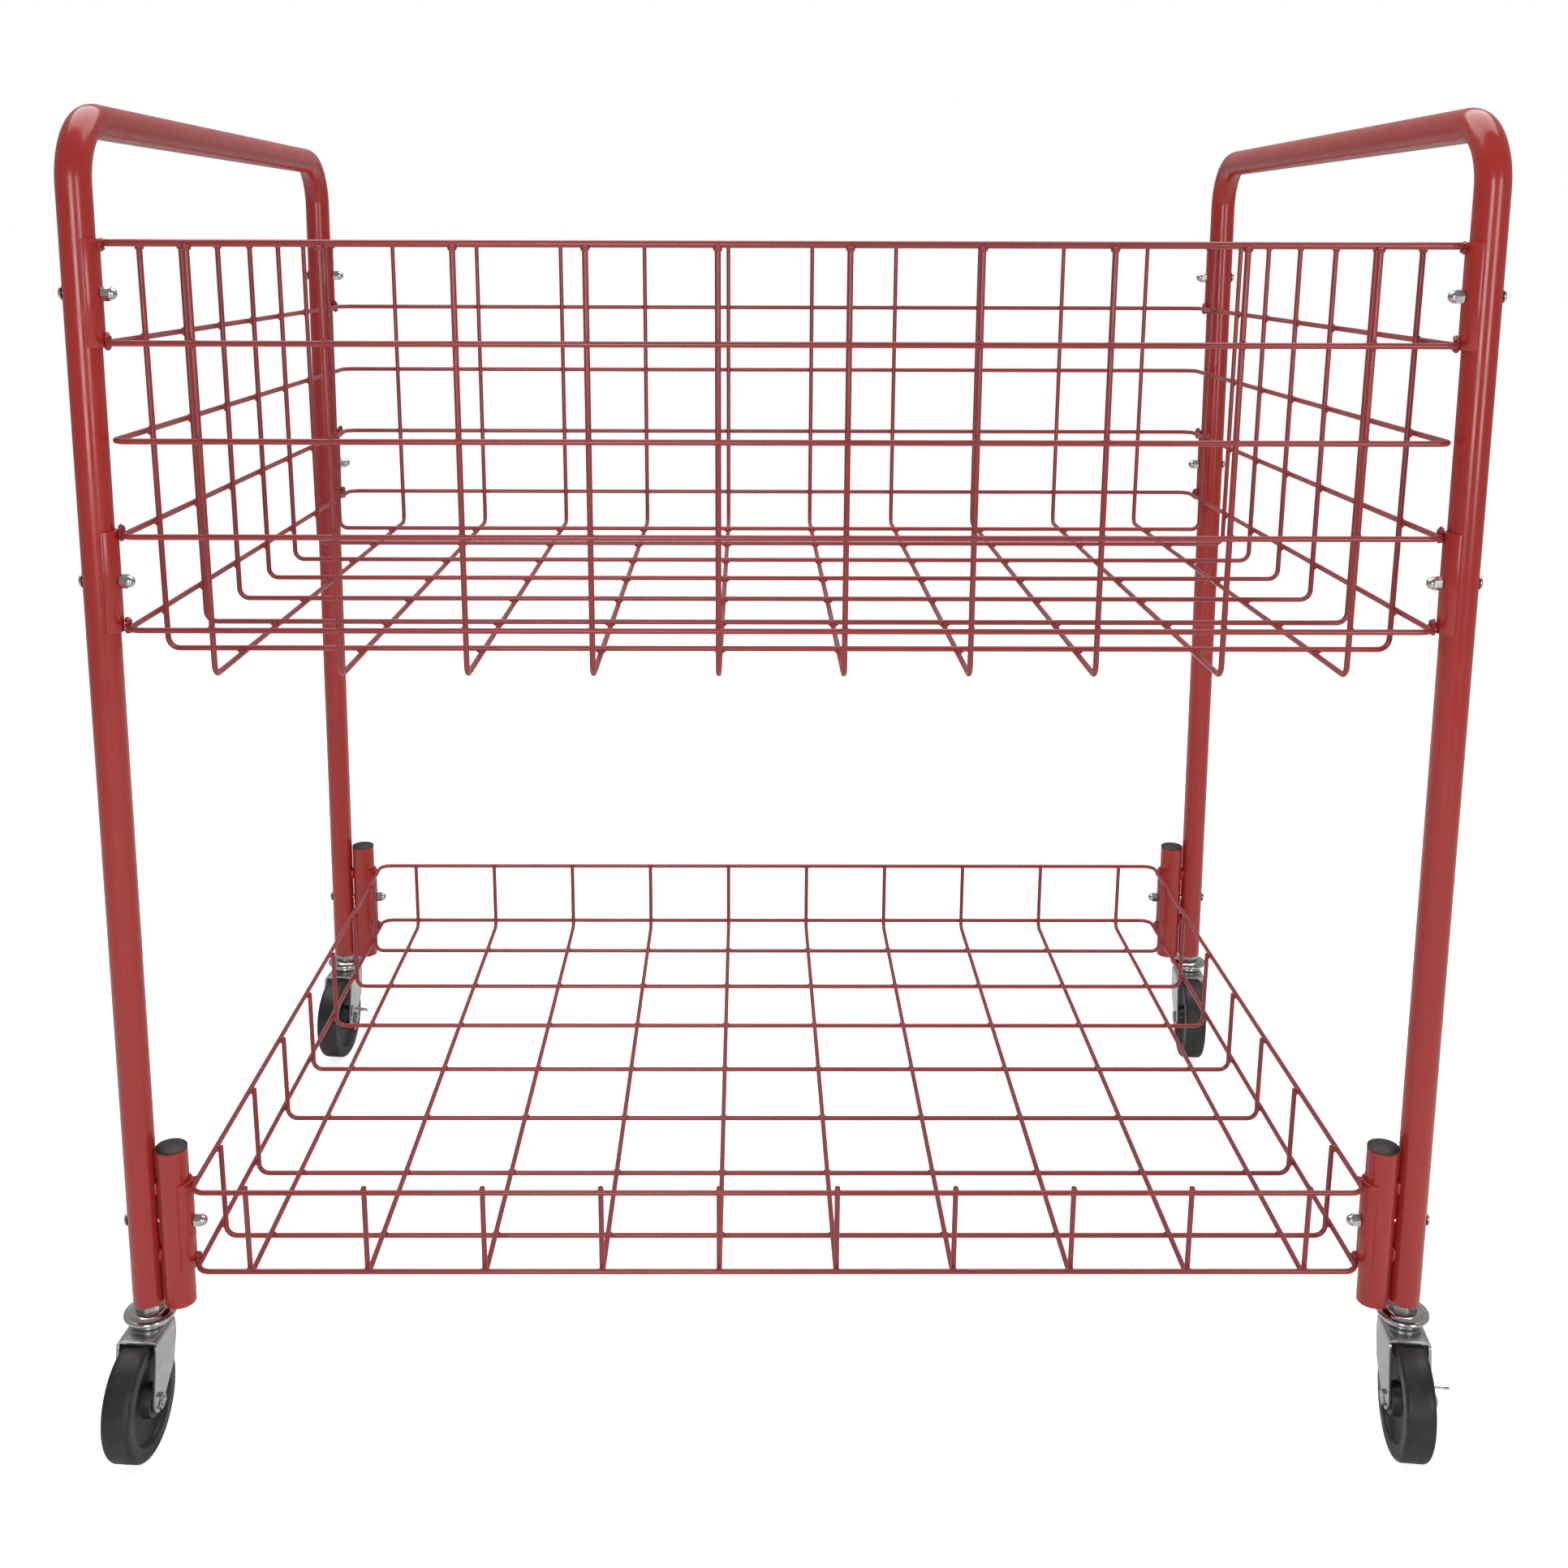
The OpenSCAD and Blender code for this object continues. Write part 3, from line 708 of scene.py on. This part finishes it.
def crossing(shape, at, across, over, seed, spread_out):
    """The fused spot where two wires cross: a soft diamond that fills their four corners."""
    normal = across.cross(over)
    reach = spread_out * (2 * WIRE_R)
    wobble = 1 + 0.12 * noise.noise(Vector(at) * 37)
    axes = (across * reach * wobble, over * reach, normal * 2.1 * MM)
    blob(shape, at, axes, power=1.15, rough=0.12, seed=seed)


def collar(shape, at, radius, seed):
    """The small skirt of paint and weld where an upright ends under the rim."""
    skirt = 1.55 * radius
    axes = (Vector((skirt, 0, 0)), Vector((0, skirt, 0)), UP * 2.6 * MM)
    blob(shape, at, axes, rough=0.15, seed=seed)


def wire_crossings(basket, spread_out):
    """Welds of the uprights to the rings and of the floor wires to each other."""
    shape = Shape()
    east, north = Vector((1, 0, 0)), Vector((0, 1, 0))
    number = 0
    side_y = (basket.cross_y + basket.ring_y) / 2
    end_x = (basket.ring_x + basket.long_x) / 2
    for z in basket.rings:
        for s in SIDES:
            for x in basket.xs:
                crossing(shape, (x, s * side_y, z), east, UP, number, spread_out)
                number += 1
            for y in basket.ys:
                crossing(shape, (s * end_x, y, z), north, UP, number, spread_out)
                number += 1
    floor_z = (basket.cross_z + basket.long_z) / 2
    for x in basket.xs:
        for y in basket.ys:
            crossing(shape, (x, y, floor_z), east, north, number, spread_out)
            number += 1
    return shape


def saddle_welds(shape, basket, inward, heights, radius):
    """Hand-laid welds that join the rings to the saddle plates, above and below each ring.
    inward is how far the saddles' tube stands from the leg, towards the basket."""
    number = 100
    for sx in SIDES:
        for sy in SIDES:
            for z in heights:
                number += 1
                face_x = leg_x_at(z) - inward - SADDLE_OUT
                x = sx * ((face_x + basket.ring_x) / 2 + 0.9 * MM)
                y = sy * (LEG_Y - 2.5 * MM)
                lift = radius + 0.8 * MM
                for direction in SIDES:
                    if direction > 0 and z + lift > basket.top - 1 * MM:
                        continue
                    reach = 3.4 * MM if direction > 0 else 2.4 * MM
                    axes = (Vector((2.7 * MM, 0, 0)), Vector((0, 3.6 * MM, 0)), UP * reach)
                    at = (x, y, z + direction * lift)
                    blob(shape, at, axes, rough=0.5, seed=number + direction, rows=12, sides=18)
                axes = (Vector((2.4 * MM, 0, 0)), Vector((0, 5.0 * MM, 0)), UP * (radius + 0.6 * MM))
                blob(shape, (x, y - sy * 1 * MM, z), axes, rough=0.35, seed=number * 2, rows=12, sides=18)


# Upper basket: rim and four rings, uprights that butt under the rim, floor bent from them
shape = Shape()
bar(shape, upper.loop(upper.ring_x - 1 * MM, upper.cross_y - 2 * MM, upper.rim_z), RIM_R, 20, closed=True)
for z in upper.rings:
    bar(shape, upper.loop(upper.ring_x, upper.ring_y, z), WIRE_R, 16, closed=True)
piece("upper_rings", shape, SHADED_WIRE_PAINT, "cart_frame", ["upper_basket_floor"])

shape = Shape()
for x in upper.xs:
    bar(shape, upper.cross_path(x, upper.cross_z, upper.tip), WIRE_R, 16)
piece(
    "upper_cross_wires", shape, SHADED_WIRE_PAINT, "cart_frame",
    ["upper_basket_front", "upper_basket_back"],
)

shape = Shape()
for y in upper.ys:
    bar(shape, upper.long_path(y, upper.long_z, upper.tip), WIRE_R, 16)
piece(
    "upper_long_wires", shape, SHADED_WIRE_PAINT, "cart_frame",
    ["upper_basket_left", "upper_basket_right"],
)

shape = wire_crossings(upper, 0.95)
number = 0
for s in SIDES:
    for x in upper.xs:
        number += 1
        collar(shape, (x, s * upper.cross_y, upper.tip - 0.6 * MM), WIRE_R, number)
    for y in upper.ys:
        number += 1
        collar(shape, (s * upper.long_x, y, upper.tip - 0.6 * MM), WIRE_R, number)
saddle_welds(shape, upper, 0, [upper.rim_z, upper.rings[0], upper.rings[2], upper.rings[3]], RIM_R)
piece("upper_welds", shape, SHADED_WIRE_PAINT, "cart_frame", sharp=70)

# Lower basket: two rings, uprights whose round tips stand above the upper ring
shape = Shape()
for z in lower.rings:
    bar(shape, lower.loop(lower.ring_x, lower.ring_y, z), WIRE_R, 16, closed=True)
piece("lower_rings", shape, SHADED_WIRE_PAINT, "cart_frame", ["lower_basket_floor"])

shape = Shape()
for x in lower.xs:
    bar(shape, lower.cross_path(x, lower.cross_z, lower.tip), WIRE_R, 16, tip=1.3 * MM)
piece(
    "lower_cross_wires", shape, SHADED_WIRE_PAINT, "cart_frame",
    ["lower_basket_front", "lower_basket_back"],
)

shape = Shape()
for y in lower.ys:
    bar(shape, lower.long_path(y, lower.long_z, lower.tip), WIRE_R, 16, tip=1.3 * MM)
piece(
    "lower_long_wires", shape, SHADED_WIRE_PAINT, "cart_frame",
    ["lower_basket_left", "lower_basket_right"],
)

shape = wire_crossings(lower, 0.78)
saddle_welds(shape, lower, STUB_IN, lower.rings, WIRE_R)
piece("lower_welds", shape, SHADED_WIRE_PAINT, "cart_frame", sharp=70)


# ---- saddles, spacers and fasteners --------------------------------------------------------


def saddle(shape, side, inward, y, low, high):
    """A curved plate on the basket side of a tube. It is thickest in the middle, and its edges
    are rounded by the paint."""
    shape.frame = on_frame(side)
    middle = math.pi if side > 0 else 0.0
    angles = [middle + SADDLE_ARC * (k / 26 - 0.5) for k in range(27)]
    outline = []
    for a in angles:
        reach = SADDLE_IN + (SADDLE_OUT - SADDLE_IN) * max(math.cos(a - middle), 0.45) ** 1.3
        outline.append((reach * math.cos(a), reach * math.sin(a)))
    outline += [(SADDLE_IN * math.cos(a), SADDLE_IN * math.sin(a)) for a in angles[::-1]]
    plate(shape, outline, high - low, 0.45 * MM, Matrix.Translation((-side * inward, y, low)))


shape = Shape()
upper_saddle_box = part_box("upper_saddles")
saddle_h = 81.5 * MM
for sx, sy in CORNERS.values():
    saddle(shape, sx, 0, sy * LEG_Y, upper_saddle_box[1].z - saddle_h, upper_saddle_box[1].z)
    saddle(shape, sx, 0, sy * LEG_Y, upper_saddle_box[0].z, upper_saddle_box[0].z + saddle_h)
piece("upper_saddle_plates", shape, PAINT, "cart_frame", ["upper_saddles"])

shape = Shape()
lower_saddle_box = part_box("lower_saddles")
for sx, sy in CORNERS.values():
    saddle(shape, sx, STUB_IN, sy * LEG_Y, lower_saddle_box[0].z, lower_saddle_box[1].z)
piece("lower_saddle_plates", shape, PAINT, "cart_frame", ["lower_saddles"])


def spacer_welds():
    """Tabs between leg and stub with a weld down each side."""
    shape = Shape()
    tab_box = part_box("spacer_tabs")
    tab_h = 12 * MM
    for sx, sy in CORNERS.values():
        shape.frame = on_frame(sx)
        for low in (tab_box[0].z, tab_box[1].z - tab_h):
            mid = low + tab_h / 2
            for j, dy in enumerate((-3.8 * MM, 0.0, 3.8 * MM)):
                width, rough = (2.1 * MM, 0.35) if dy else (1.0 * MM, 0.05)
                axes = (Vector((width, 0, 0)), Vector((0, 2.6 * MM, 0)), UP * tab_h / 2)
                at = (-sx * STUB_IN / 2, sy * LEG_Y + dy, mid)
                blob(shape, at, axes, rough=rough, seed=int(mid * 1000) + j, rows=14)
    return shape


piece("spacer_welds", spacer_welds(), PAINT, "cart_frame", ["spacer_tabs"], sharp=70)


def facing(origin, direction):
    """Places a shape built along +Z so that it starts at origin and points along direction."""
    turn = UP.rotation_difference(Vector(direction).normalized()).to_matrix().to_4x4()
    return Matrix.Translation(origin) @ turn


def acorn_nut(shape, place, spin):
    place = place @ Matrix.Rotation(spin, 4, "Z")
    height = 6.5 * MM
    dome_r = 4.8 * MM
    hexagon(shape, NUT_AF, height, place)
    lathe(shape, [(dome_r, height - 0.6 * MM)] + arc((0, height), dome_r, 0, 84, 10), place, 32, closed=False)


def bolt_head(shape, place):
    head_r = 5.5 * MM
    head_h = 3.2 * MM
    profile = [(head_r - 0.3 * MM, 0), (head_r, 0.3 * MM), (head_r, 0.8 * MM)]
    for k in range(1, 9):
        a = math.pi / 2 * k / 9
        profile.append((head_r * math.cos(a), 0.8 * MM + (head_h - 0.8 * MM) * math.sin(a)))
    lathe(shape, profile, place, 32, closed=False)


saddle_mid_top = upper_saddle_box[1].z - saddle_h / 2
saddle_mid_low = upper_saddle_box[0].z + saddle_h / 2
stub_bolt_z = (lower_saddle_box[0].z + lower_saddle_box[1].z) / 2 + 3 * MM
NUT_FACE = SADDLE_OUT + 0.05 * MM
bolt_rows = ((saddle_mid_top, NUT_FACE), (saddle_mid_low, NUT_FACE), (stub_bolt_z, STUB_IN + NUT_FACE))
rng = random.Random(7)
bolts, nuts = Shape(), Shape()
for sx, sy in CORNERS.values():
    bolts.frame = nuts.frame = on_frame(sx)
    outward = Vector((sx, 0, 0))
    for z, reach in bolt_rows:
        head = Vector((0, sy * LEG_Y, z)) + outward * (TUBE_R + 0.05 * MM)
        nut = Vector((0, sy * LEG_Y, z)) - outward * reach
        bolt_head(bolts, facing(head, outward))
        bar(bolts, [head - outward * 0.2 * MM, nut - outward * 3 * MM], 3 * MM, 20)
        acorn_nut(nuts, facing(nut, -outward), rng.uniform(0, math.pi / 3))
piece("carriage_bolts", bolts, CHROME, "cart_frame", ["frame_bolts"])
piece("cap_nuts", nuts, CHROME, "cart_frame", ["acorn_nuts"])


# ---- casters -------------------------------------------------------------------------------

FORK_T = 2.5 * MM
FORK_W = 36 * MM
FORK_TOP = 104 * MM
AXLE_R = 4 * MM
BUSH_R = 6 * MM
EYE_R = 9.5 * MM
DISH_R = 22.5 * MM
RACE_R = 17.5 * MM
RACE_TOP = 109 * MM
DISH_TOP = 117 * MM
LEVER_T = 2 * MM
STEM_R = 6 * MM


def caster_place(name):
    """The caster's own frame: origin on the floor under the axle, X along it, swivel at +Y."""
    spin = JOINTS[f"wheel_spin_{name}"]
    axle = Vector(spin["pos_m"])
    along = Vector(spin["axis"]).normalized()
    yaw = math.atan2(along.y, along.x)
    return Matrix.Translation((axle.x, axle.y, 0)) @ Matrix.Rotation(yaw, 4, "Z"), axle


def trail_of(name):
    axle = Vector(JOINTS[f"wheel_spin_{name}"]["pos_m"])
    swivel = Vector(JOINTS[f"swivel_turn_{name}"]["pos_m"])
    return (swivel - axle).to_2d().length


def dish_race(shape, centre):
    """The chromed upper race: a domed shell with a rolled rim and a groove that hides the balls."""
    low = RACE_TOP + 0.4 * MM
    rim = 2.5 * MM
    profile = [(STEM_R + 0.05 * MM, DISH_TOP), (12.4 * MM, DISH_TOP)]
    profile += arc((12.4 * MM, DISH_TOP - 9.0 * MM), 9.0 * MM, 82, 42, 8)
    profile += arc((DISH_R - rim, low + rim), rim, 48, -80, 14)
    profile += [(16.0 * MM, low + 0.1 * MM), (15.0 * MM, low + 0.5 * MM), (14.6 * MM, low + 2.2 * MM)]
    profile += [(10.4 * MM, low + 2.2 * MM), (10.2 * MM, low), (STEM_R + 0.05 * MM, low)]
    lathe(shape, profile, Matrix.Translation((centre.x, centre.y, 0)), 72)


def lower_race(centre):
    shape = Shape()
    profile = [(STEM_R + 0.4 * MM, FORK_TOP), (RACE_R - 2.2 * MM, FORK_TOP)]
    profile += arc((RACE_R - 2.5 * MM, FORK_TOP + 2.5 * MM), 2.5 * MM, -70, 88, 10)
    lip, groove = RACE_TOP - 0.1 * MM, RACE_TOP - 1.2 * MM
    profile += [(14.6 * MM, lip), (13.6 * MM, groove), (11.4 * MM, groove), (10.4 * MM, lip)]
    profile.append((STEM_R + 0.4 * MM, lip))
    return lathe(shape, profile, Matrix.Translation((centre.x, centre.y, 0)), 72)


def stem(centre, box):
    """Threadless stem with its hex collar and the riveted foot that holds the fork."""
    shape = Shape()
    place = Matrix.Translation((centre.x, centre.y, 0))
    collar_low = DISH_TOP + 0.05 * MM
    collar_h = LEG_BOTTOM - 0.25 * MM - collar_low
    hexagon(shape, 20.8 * MM, collar_h, place @ Matrix.Translation((0, 0, collar_low)))
    low, high = box[0].z, box[1].z
    foot = 9 * MM
    profile = [(6.5 * MM, low), (foot - 0.8 * MM, low + 0.3 * MM), (foot, low + 1.1 * MM)]
    profile += [(foot, low + 2.2 * MM), (STEM_R, low + 2.2 * MM)]
    profile += [(STEM_R, high - 0.8 * MM), (STEM_R - 0.8 * MM, high)]
    return lathe(shape, profile, place, 40, closed=False)


def fork_sheet(name, place):
    """The pressed fork as one surface: up one leg, over the crown in round bends, down the
    other. The leg widens from the axle eye to the crown, whose back is round."""
    trail = trail_of(name)
    axle_z = JOINTS[f"wheel_spin_{name}"]["pos_m"][2]
    half = FORK_W / 2 - FORK_T / 2
    bend = 4.2 * MM
    crown_z = FORK_TOP - FORK_T / 2
    shoulder = crown_z - bend - axle_z
    legs = [-EYE_R * math.cos(math.pi / 2 * (k + 0.2) / 9) for k in range(9)]
    legs += [shoulder * k / 26 for k in range(27)]
    stations = [(half, axle_z + h, h) for h in legs]
    for k in range(1, 8):
        a = math.pi / 2 * k / 8
        x, z = half - bend + bend * math.cos(a), crown_z - bend + bend * math.sin(a)
        stations.append((x, z, crown_z - axle_z))
    crown = [(half - bend) * (1 - k / 6) for k in range(6)]
    stations += [(x, crown_z, crown_z - axle_z) for x in crown]
    stations += [(0.0, crown_z, crown_z - axle_z)]
    stations += [(-x, z, h) for x, z, h in stations[-2::-1]]

    def front(x, h):
        if h < 0:
            return -math.sqrt(max(EYE_R**2 - h * h, 0))
        rise = min(h / (crown_z - axle_z), 1.0)
        swept = -EYE_R + 14 * MM * rise
        bow = 2.4 * MM * max(0.0, 1 - (abs(x) / half) ** 2) if h >= shoulder else 0.0
        return swept - bow

    def back(x, h):
        if h < -0.75 * EYE_R:
            return math.sqrt(max(EYE_R**2 - h * h, 0))
        knee, waist, knee_y, waist_y = 16 * MM, 38 * MM, 35 * MM, 43 * MM
        if h < knee:
            return 6.2 * MM + (knee_y - 6.2 * MM) * (h + 0.75 * EYE_R) / (knee + 0.75 * EYE_R)
        if h < waist:
            return knee_y + (waist_y - knee_y) * (h - knee) / (waist - knee)
        if h < shoulder + 0.5 * MM:
            return waist_y
        return max(waist_y, trail + math.sqrt(max((FORK_W / 2) ** 2 - x * x, 0.0)))

    across = 22
    verts = []
    for x, z, h in stations:
        a, b = front(x, h), back(x, h)
        verts += [(x, a + (b - a) * j / across, z) for j in range(across + 1)]
    faces = []
    for i in range(len(stations) - 1):
        for j in range(across):
            p = i * (across + 1) + j
            faces.append([p, p + 1, p + across + 2, p + across + 1])
    return Shape().add(verts, faces, place)


def wheel(place, axle_z):
    """Moulded wheel: rounded tread shoulders, a stepped rim lip, a dished web and a hub."""
    rim_r = axle_z
    half = 12.5 * MM
    shoulder = 4 * MM
    web = 6.5 * MM
    hub_r = 14 * MM
    hub = FORK_W / 2 - FORK_T - 0.6 * MM
    edge = [(BUSH_R + 0.05 * MM, hub - 0.6 * MM), (BUSH_R + 0.7 * MM, hub), (hub_r - 1 * MM, hub)]
    edge += arc((hub_r - 1 * MM, hub - 1 * MM), 1 * MM, 80, 5, 4)
    edge += [(hub_r + 0.5 * MM, web + 2.2 * MM), (hub_r + 1.1 * MM, web + 0.8 * MM), (hub_r + 2.6 * MM, web)]
    edge += [(31 * MM, web), (33.5 * MM, web + 0.35 * MM)]
    edge += [(35 * MM, web + 1.2 * MM), (36.2 * MM, half - 2.6 * MM), (37.0 * MM, half - 0.9 * MM)]
    edge += arc((38.3 * MM, half - 0.9 * MM), 0.9 * MM, 165, 95, 4)
    edge += [(41 * MM, half), (43.5 * MM, half - 0.12 * MM)]
    edge += arc((rim_r - shoulder, half - shoulder), shoulder, 86, 4, 9)
    crown = [(rim_r, 4 * MM), (rim_r, 0.5 * MM)]
    profile = edge + crown + [(r, -h) for r, h in (edge + crown)[::-1]]
    turn = Matrix.Rotation(math.pi / 2, 4, "Y")
    return lathe(Shape(), profile, place @ Matrix.Translation((0, 0, axle_z)) @ turn, 112)


def axle_set(name, place, axle_z):
    """Axle bolt with its chamfered head, and its nut beyond the fork or the brake lever."""
    bolt, nut = Shape(), Shape()
    nut_start = FORK_W / 2 + (LEVER_T + 0.8 * MM if f"brake_press_{name}" in JOINTS else 0.05 * MM)
    left = place @ facing((-FORK_W / 2 - 0.05 * MM, 0, axle_z), (-1, 0, 0))
    hexagon(bolt, AXLE_HEAD_AF, 3 * MM, left)
    shank = [place @ Vector((-FORK_W / 2, 0, axle_z)), place @ Vector((nut_start + 4.5 * MM, 0, axle_z))]
    bar(bolt, shank, AXLE_R, 28, tip=0.8 * MM)
    right = place @ facing((nut_start, 0, axle_z), (1, 0, 0))
    hexagon(nut, AXLE_HEAD_AF, 3.5 * MM, right, bore=AXLE_R + 0.05 * MM)
    return bolt, nut


def lever_shape(place, axle_z):
    shape = Shape()
    angle = math.radians(53)
    lever_x = FORK_W / 2 + 0.4 * MM
    outline = []
    disc = 11 * MM
    arm_tip = 17 * MM
    arm_half = 4 * MM
    for k in range(4):
        middle = angle + math.pi / 4 + math.pi / 2 * k
        c, s = math.cos(middle), math.sin(middle)
        root = math.sqrt(disc**2 - arm_half**2)
        corners = [(root, -arm_half), (arm_tip - 1.5 * MM, -arm_half), (arm_tip, -arm_half + 1.5 * MM)]
        corners += [(arm_tip, arm_half - 1.5 * MM), (arm_tip - 1.5 * MM, arm_half), (root, arm_half)]
        outline += [(x * c - y * s, x * s + y * c) for x, y in corners]
        start = middle + math.asin(arm_half / disc)
        stop = middle + math.pi / 2 - math.asin(arm_half / disc)
        between = [start + (stop - start) * t for t in (0.25, 0.5, 0.75)]
        outline += [(disc * math.cos(a), disc * math.sin(a)) for a in between]
    upright = Matrix.Rotation(math.pi / 2, 4, "Y") @ Matrix.Rotation(math.pi / 2, 4, "Z")
    lay = place @ Matrix.Translation((lever_x, 0, axle_z)) @ upright
    plate(shape, outline, LEVER_T, 0.35 * MM, lay)
    return shape


def lever_tab(place, axle_z):
    """The foot tab: it leaves the plate on a slant, then turns outwards along the axle."""
    angle = math.radians(53)
    lever_x = FORK_W / 2 + 0.4 * MM + LEVER_T / 2
    line = [(lever_x, 6.5 * MM), (lever_x + 0.3 * MM, 8.5 * MM)]
    line += [(lever_x + 1.6 * MM, 10.4 * MM), (lever_x + 3.6 * MM, 10.9 * MM)]
    line += [(lever_x + 3.6 * MM + (17 - 3.6 - 1) * MM * k / 8, 11.0 * MM) for k in range(1, 9)]
    half = 8 * MM
    across = 10
    verts, faces = [], []
    for n, (x, r) in enumerate(line):
        share = n / (len(line) - 1)
        width = half * (1 - 0.28 * max(0.0, share - 0.6) / 0.4)
        for j in range(across + 1):
            t = (j / across * 2 - 1) * width
            y = r * math.cos(angle) - t * math.sin(angle)
            z = r * math.sin(angle) + t * math.cos(angle)
            verts.append((x, y, axle_z + z))
    for i in range(len(line) - 1):
        for j in range(across):
            p = i * (across + 1) + j
            faces.append([p, p + 1, p + across + 2, p + across + 1])
    return Shape().add(verts, faces, place)


dishes = Shape()
for name in CORNERS:
    place, axle = caster_place(name)
    swivel = Vector(JOINTS[f"swivel_turn_{name}"]["pos_m"])
    swivel_body, rolling_body = f"swivel_{name}", f"rolling_{name}"
    dish_race(dishes, swivel)
    stem_shape = stem(swivel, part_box(f"caster_stem_{name}"))
    piece(
        f"swivel_stem_{name}", stem_shape, HARD_ZINC, "cart_frame",
        [f"caster_stem_{name}"],
    )
    piece(
        f"ball_race_{name}", lower_race(swivel), CHROME, swivel_body,
        [f"lower_race_{name}"],
    )
    piece(
        f"pressed_fork_{name}", fork_sheet(name, place), PLATE_ZINC, swivel_body,
        [f"fork_{name}"], sheet=FORK_T, bevel=0.45 * MM,
    )
    piece(
        f"moulded_wheel_{name}", wheel(place, axle.z), WHEEL, rolling_body,
        [f"wheel_{name}"],
    )
    bolt, nut = axle_set(name, place, axle.z)
    piece(f"hex_axle_{name}", bolt, HARD_ZINC, swivel_body, [f"axle_bolt_{name}"])
    piece(f"hex_nut_{name}", nut, HARD_ZINC, swivel_body, [f"axle_nut_{name}"])
    if f"brake_press_{name}" in JOINTS:
        body = f"brake_{name}"
        piece(
            f"brake_star_{name}", lever_shape(place, axle.z), PLATE_ZINC, body,
            [f"brake_lever_{name}"],
        )
        piece(
            f"brake_tab_{name}", lever_tab(place, axle.z), PLATE_ZINC, body,
            sheet=LEVER_T, bevel=0.4 * MM,
        )
piece("dish_races", dishes, CHROME, "cart_frame", ["upper_races"])


# ---- CAD nodes that keep their shape -------------------------------------------------------


def finish_node(name, material):
    node = frame["nodes"][name]
    node.data.materials.clear()
    node.data.materials.append(material)


finish_node("leg_inserts", HARD_ZINC)
finish_node("bearing_balls", CHROME)
for name in CORNERS:
    finish_node(f"axle_bush_{name}", HARD_ZINC)


# ---- floor, light and camera ---------------------------------------------------------------


def floor():
    bpy.ops.mesh.primitive_circle_add(vertices=96, radius=30, fill_type="NGON", location=(0, 0, 0))
    ground = bpy.context.object
    ground.name = "studio_floor"
    ground.data.materials.append(pale_floor())


def softbox(name, place, aim, size, power):
    data = bpy.data.lights.new(name, "AREA")
    data.shape = "RECTANGLE"
    data.size, data.size_y = size
    data.energy = power
    lamp = bpy.data.objects.new(name, data)
    bpy.context.scene.collection.objects.link(lamp)
    lamp.location = place
    lamp.rotation_mode = "QUATERNION"
    lamp.rotation_quaternion = (Vector(aim) - Vector(place)).to_track_quat("-Z", "Y")
    lamp.visible_camera = False


def studio_world():
    """A little brighter behind than in front, and plain white where the camera sees it."""
    world = bpy.data.worlds.new("studio")
    bpy.context.scene.world = world
    world.use_nodes = True
    tree = world.node_tree
    tree.nodes.clear()
    output = tree.nodes.new("ShaderNodeOutputWorld")
    coords = tree.nodes.new("ShaderNodeTexCoord")
    split = tree.nodes.new("ShaderNodeSeparateXYZ")
    ramp = tree.nodes.new("ShaderNodeMapRange")
    ramp.interpolation_type = "SMOOTHSTEP"
    light = tree.nodes.new("ShaderNodeBackground")
    seen = tree.nodes.new("ShaderNodeBackground")
    mix = tree.nodes.new("ShaderNodeMixShader")
    path = tree.nodes.new("ShaderNodeLightPath")
    tree.links.new(coords.outputs["Generated"], split.inputs[0])
    tree.links.new(split.outputs["Y"], ramp.inputs["Value"])
    for socket, value in zip(ramp.inputs[1:5], (-0.45, 0.65, 0.26, 0.34)):
        socket.default_value = value
    tree.links.new(ramp.outputs["Result"], light.inputs["Strength"])
    light.inputs["Color"].default_value = rgb(1.0, 0.985, 0.97)
    seen.inputs["Color"].default_value = rgb(1.0, 1.0, 1.0)
    tree.links.new(path.outputs["Is Camera Ray"], mix.inputs["Fac"])
    tree.links.new(light.outputs[0], mix.inputs[1])
    tree.links.new(seen.outputs[0], mix.inputs[2])
    tree.links.new(mix.outputs[0], output.inputs["Surface"])


def camera():
    """The photograph's own viewpoint: level with the upper basket's rim, looking slightly down."""
    position = Vector((-0.0282, -1.6535, 1.0258))
    yaw, pitch, roll = (math.radians(d) for d in (0.24, 12.4, 0.14))
    focal_share = 1.06
    centre = (0.4802, 0.3882)
    forward = Vector((math.sin(yaw) * math.cos(pitch), math.cos(yaw) * math.cos(pitch), -math.sin(pitch)))
    right = Vector((math.cos(yaw), -math.sin(yaw), 0))
    up = right.cross(forward)
    turned_right = right * math.cos(roll) + up * math.sin(roll)
    turned_up = up * math.cos(roll) - right * math.sin(roll)
    data = bpy.data.cameras.new("photo_camera")
    data.sensor_width = 36
    data.lens = 36 * focal_share
    data.shift_x = 0.5 - centre[0]
    data.shift_y = centre[1] - 0.5
    cam = bpy.data.objects.new("photo_camera", data)
    bpy.context.scene.collection.objects.link(cam)
    rotation = Matrix((turned_right, turned_up, -forward)).transposed().to_4x4()
    cam.matrix_world = Matrix.Translation(position) @ rotation
    bpy.context.scene.camera = cam


floor()
softbox("overhead", (0.0, 0.7, 3.0), (0, 0.1, 0.5), (3.8, 2.4), 66)
softbox("left_strip", (-0.42, -2.9, 1.2), (-0.54, -0.36, 1.2), (0.8, 1.3), 20)
softbox("right_strip", (1.76, -2.8, 1.2), (0.54, -0.36, 1.2), (0.8, 1.3), 17)
studio_world()
camera()
bpy.context.scene.view_settings.view_transform = "Standard"
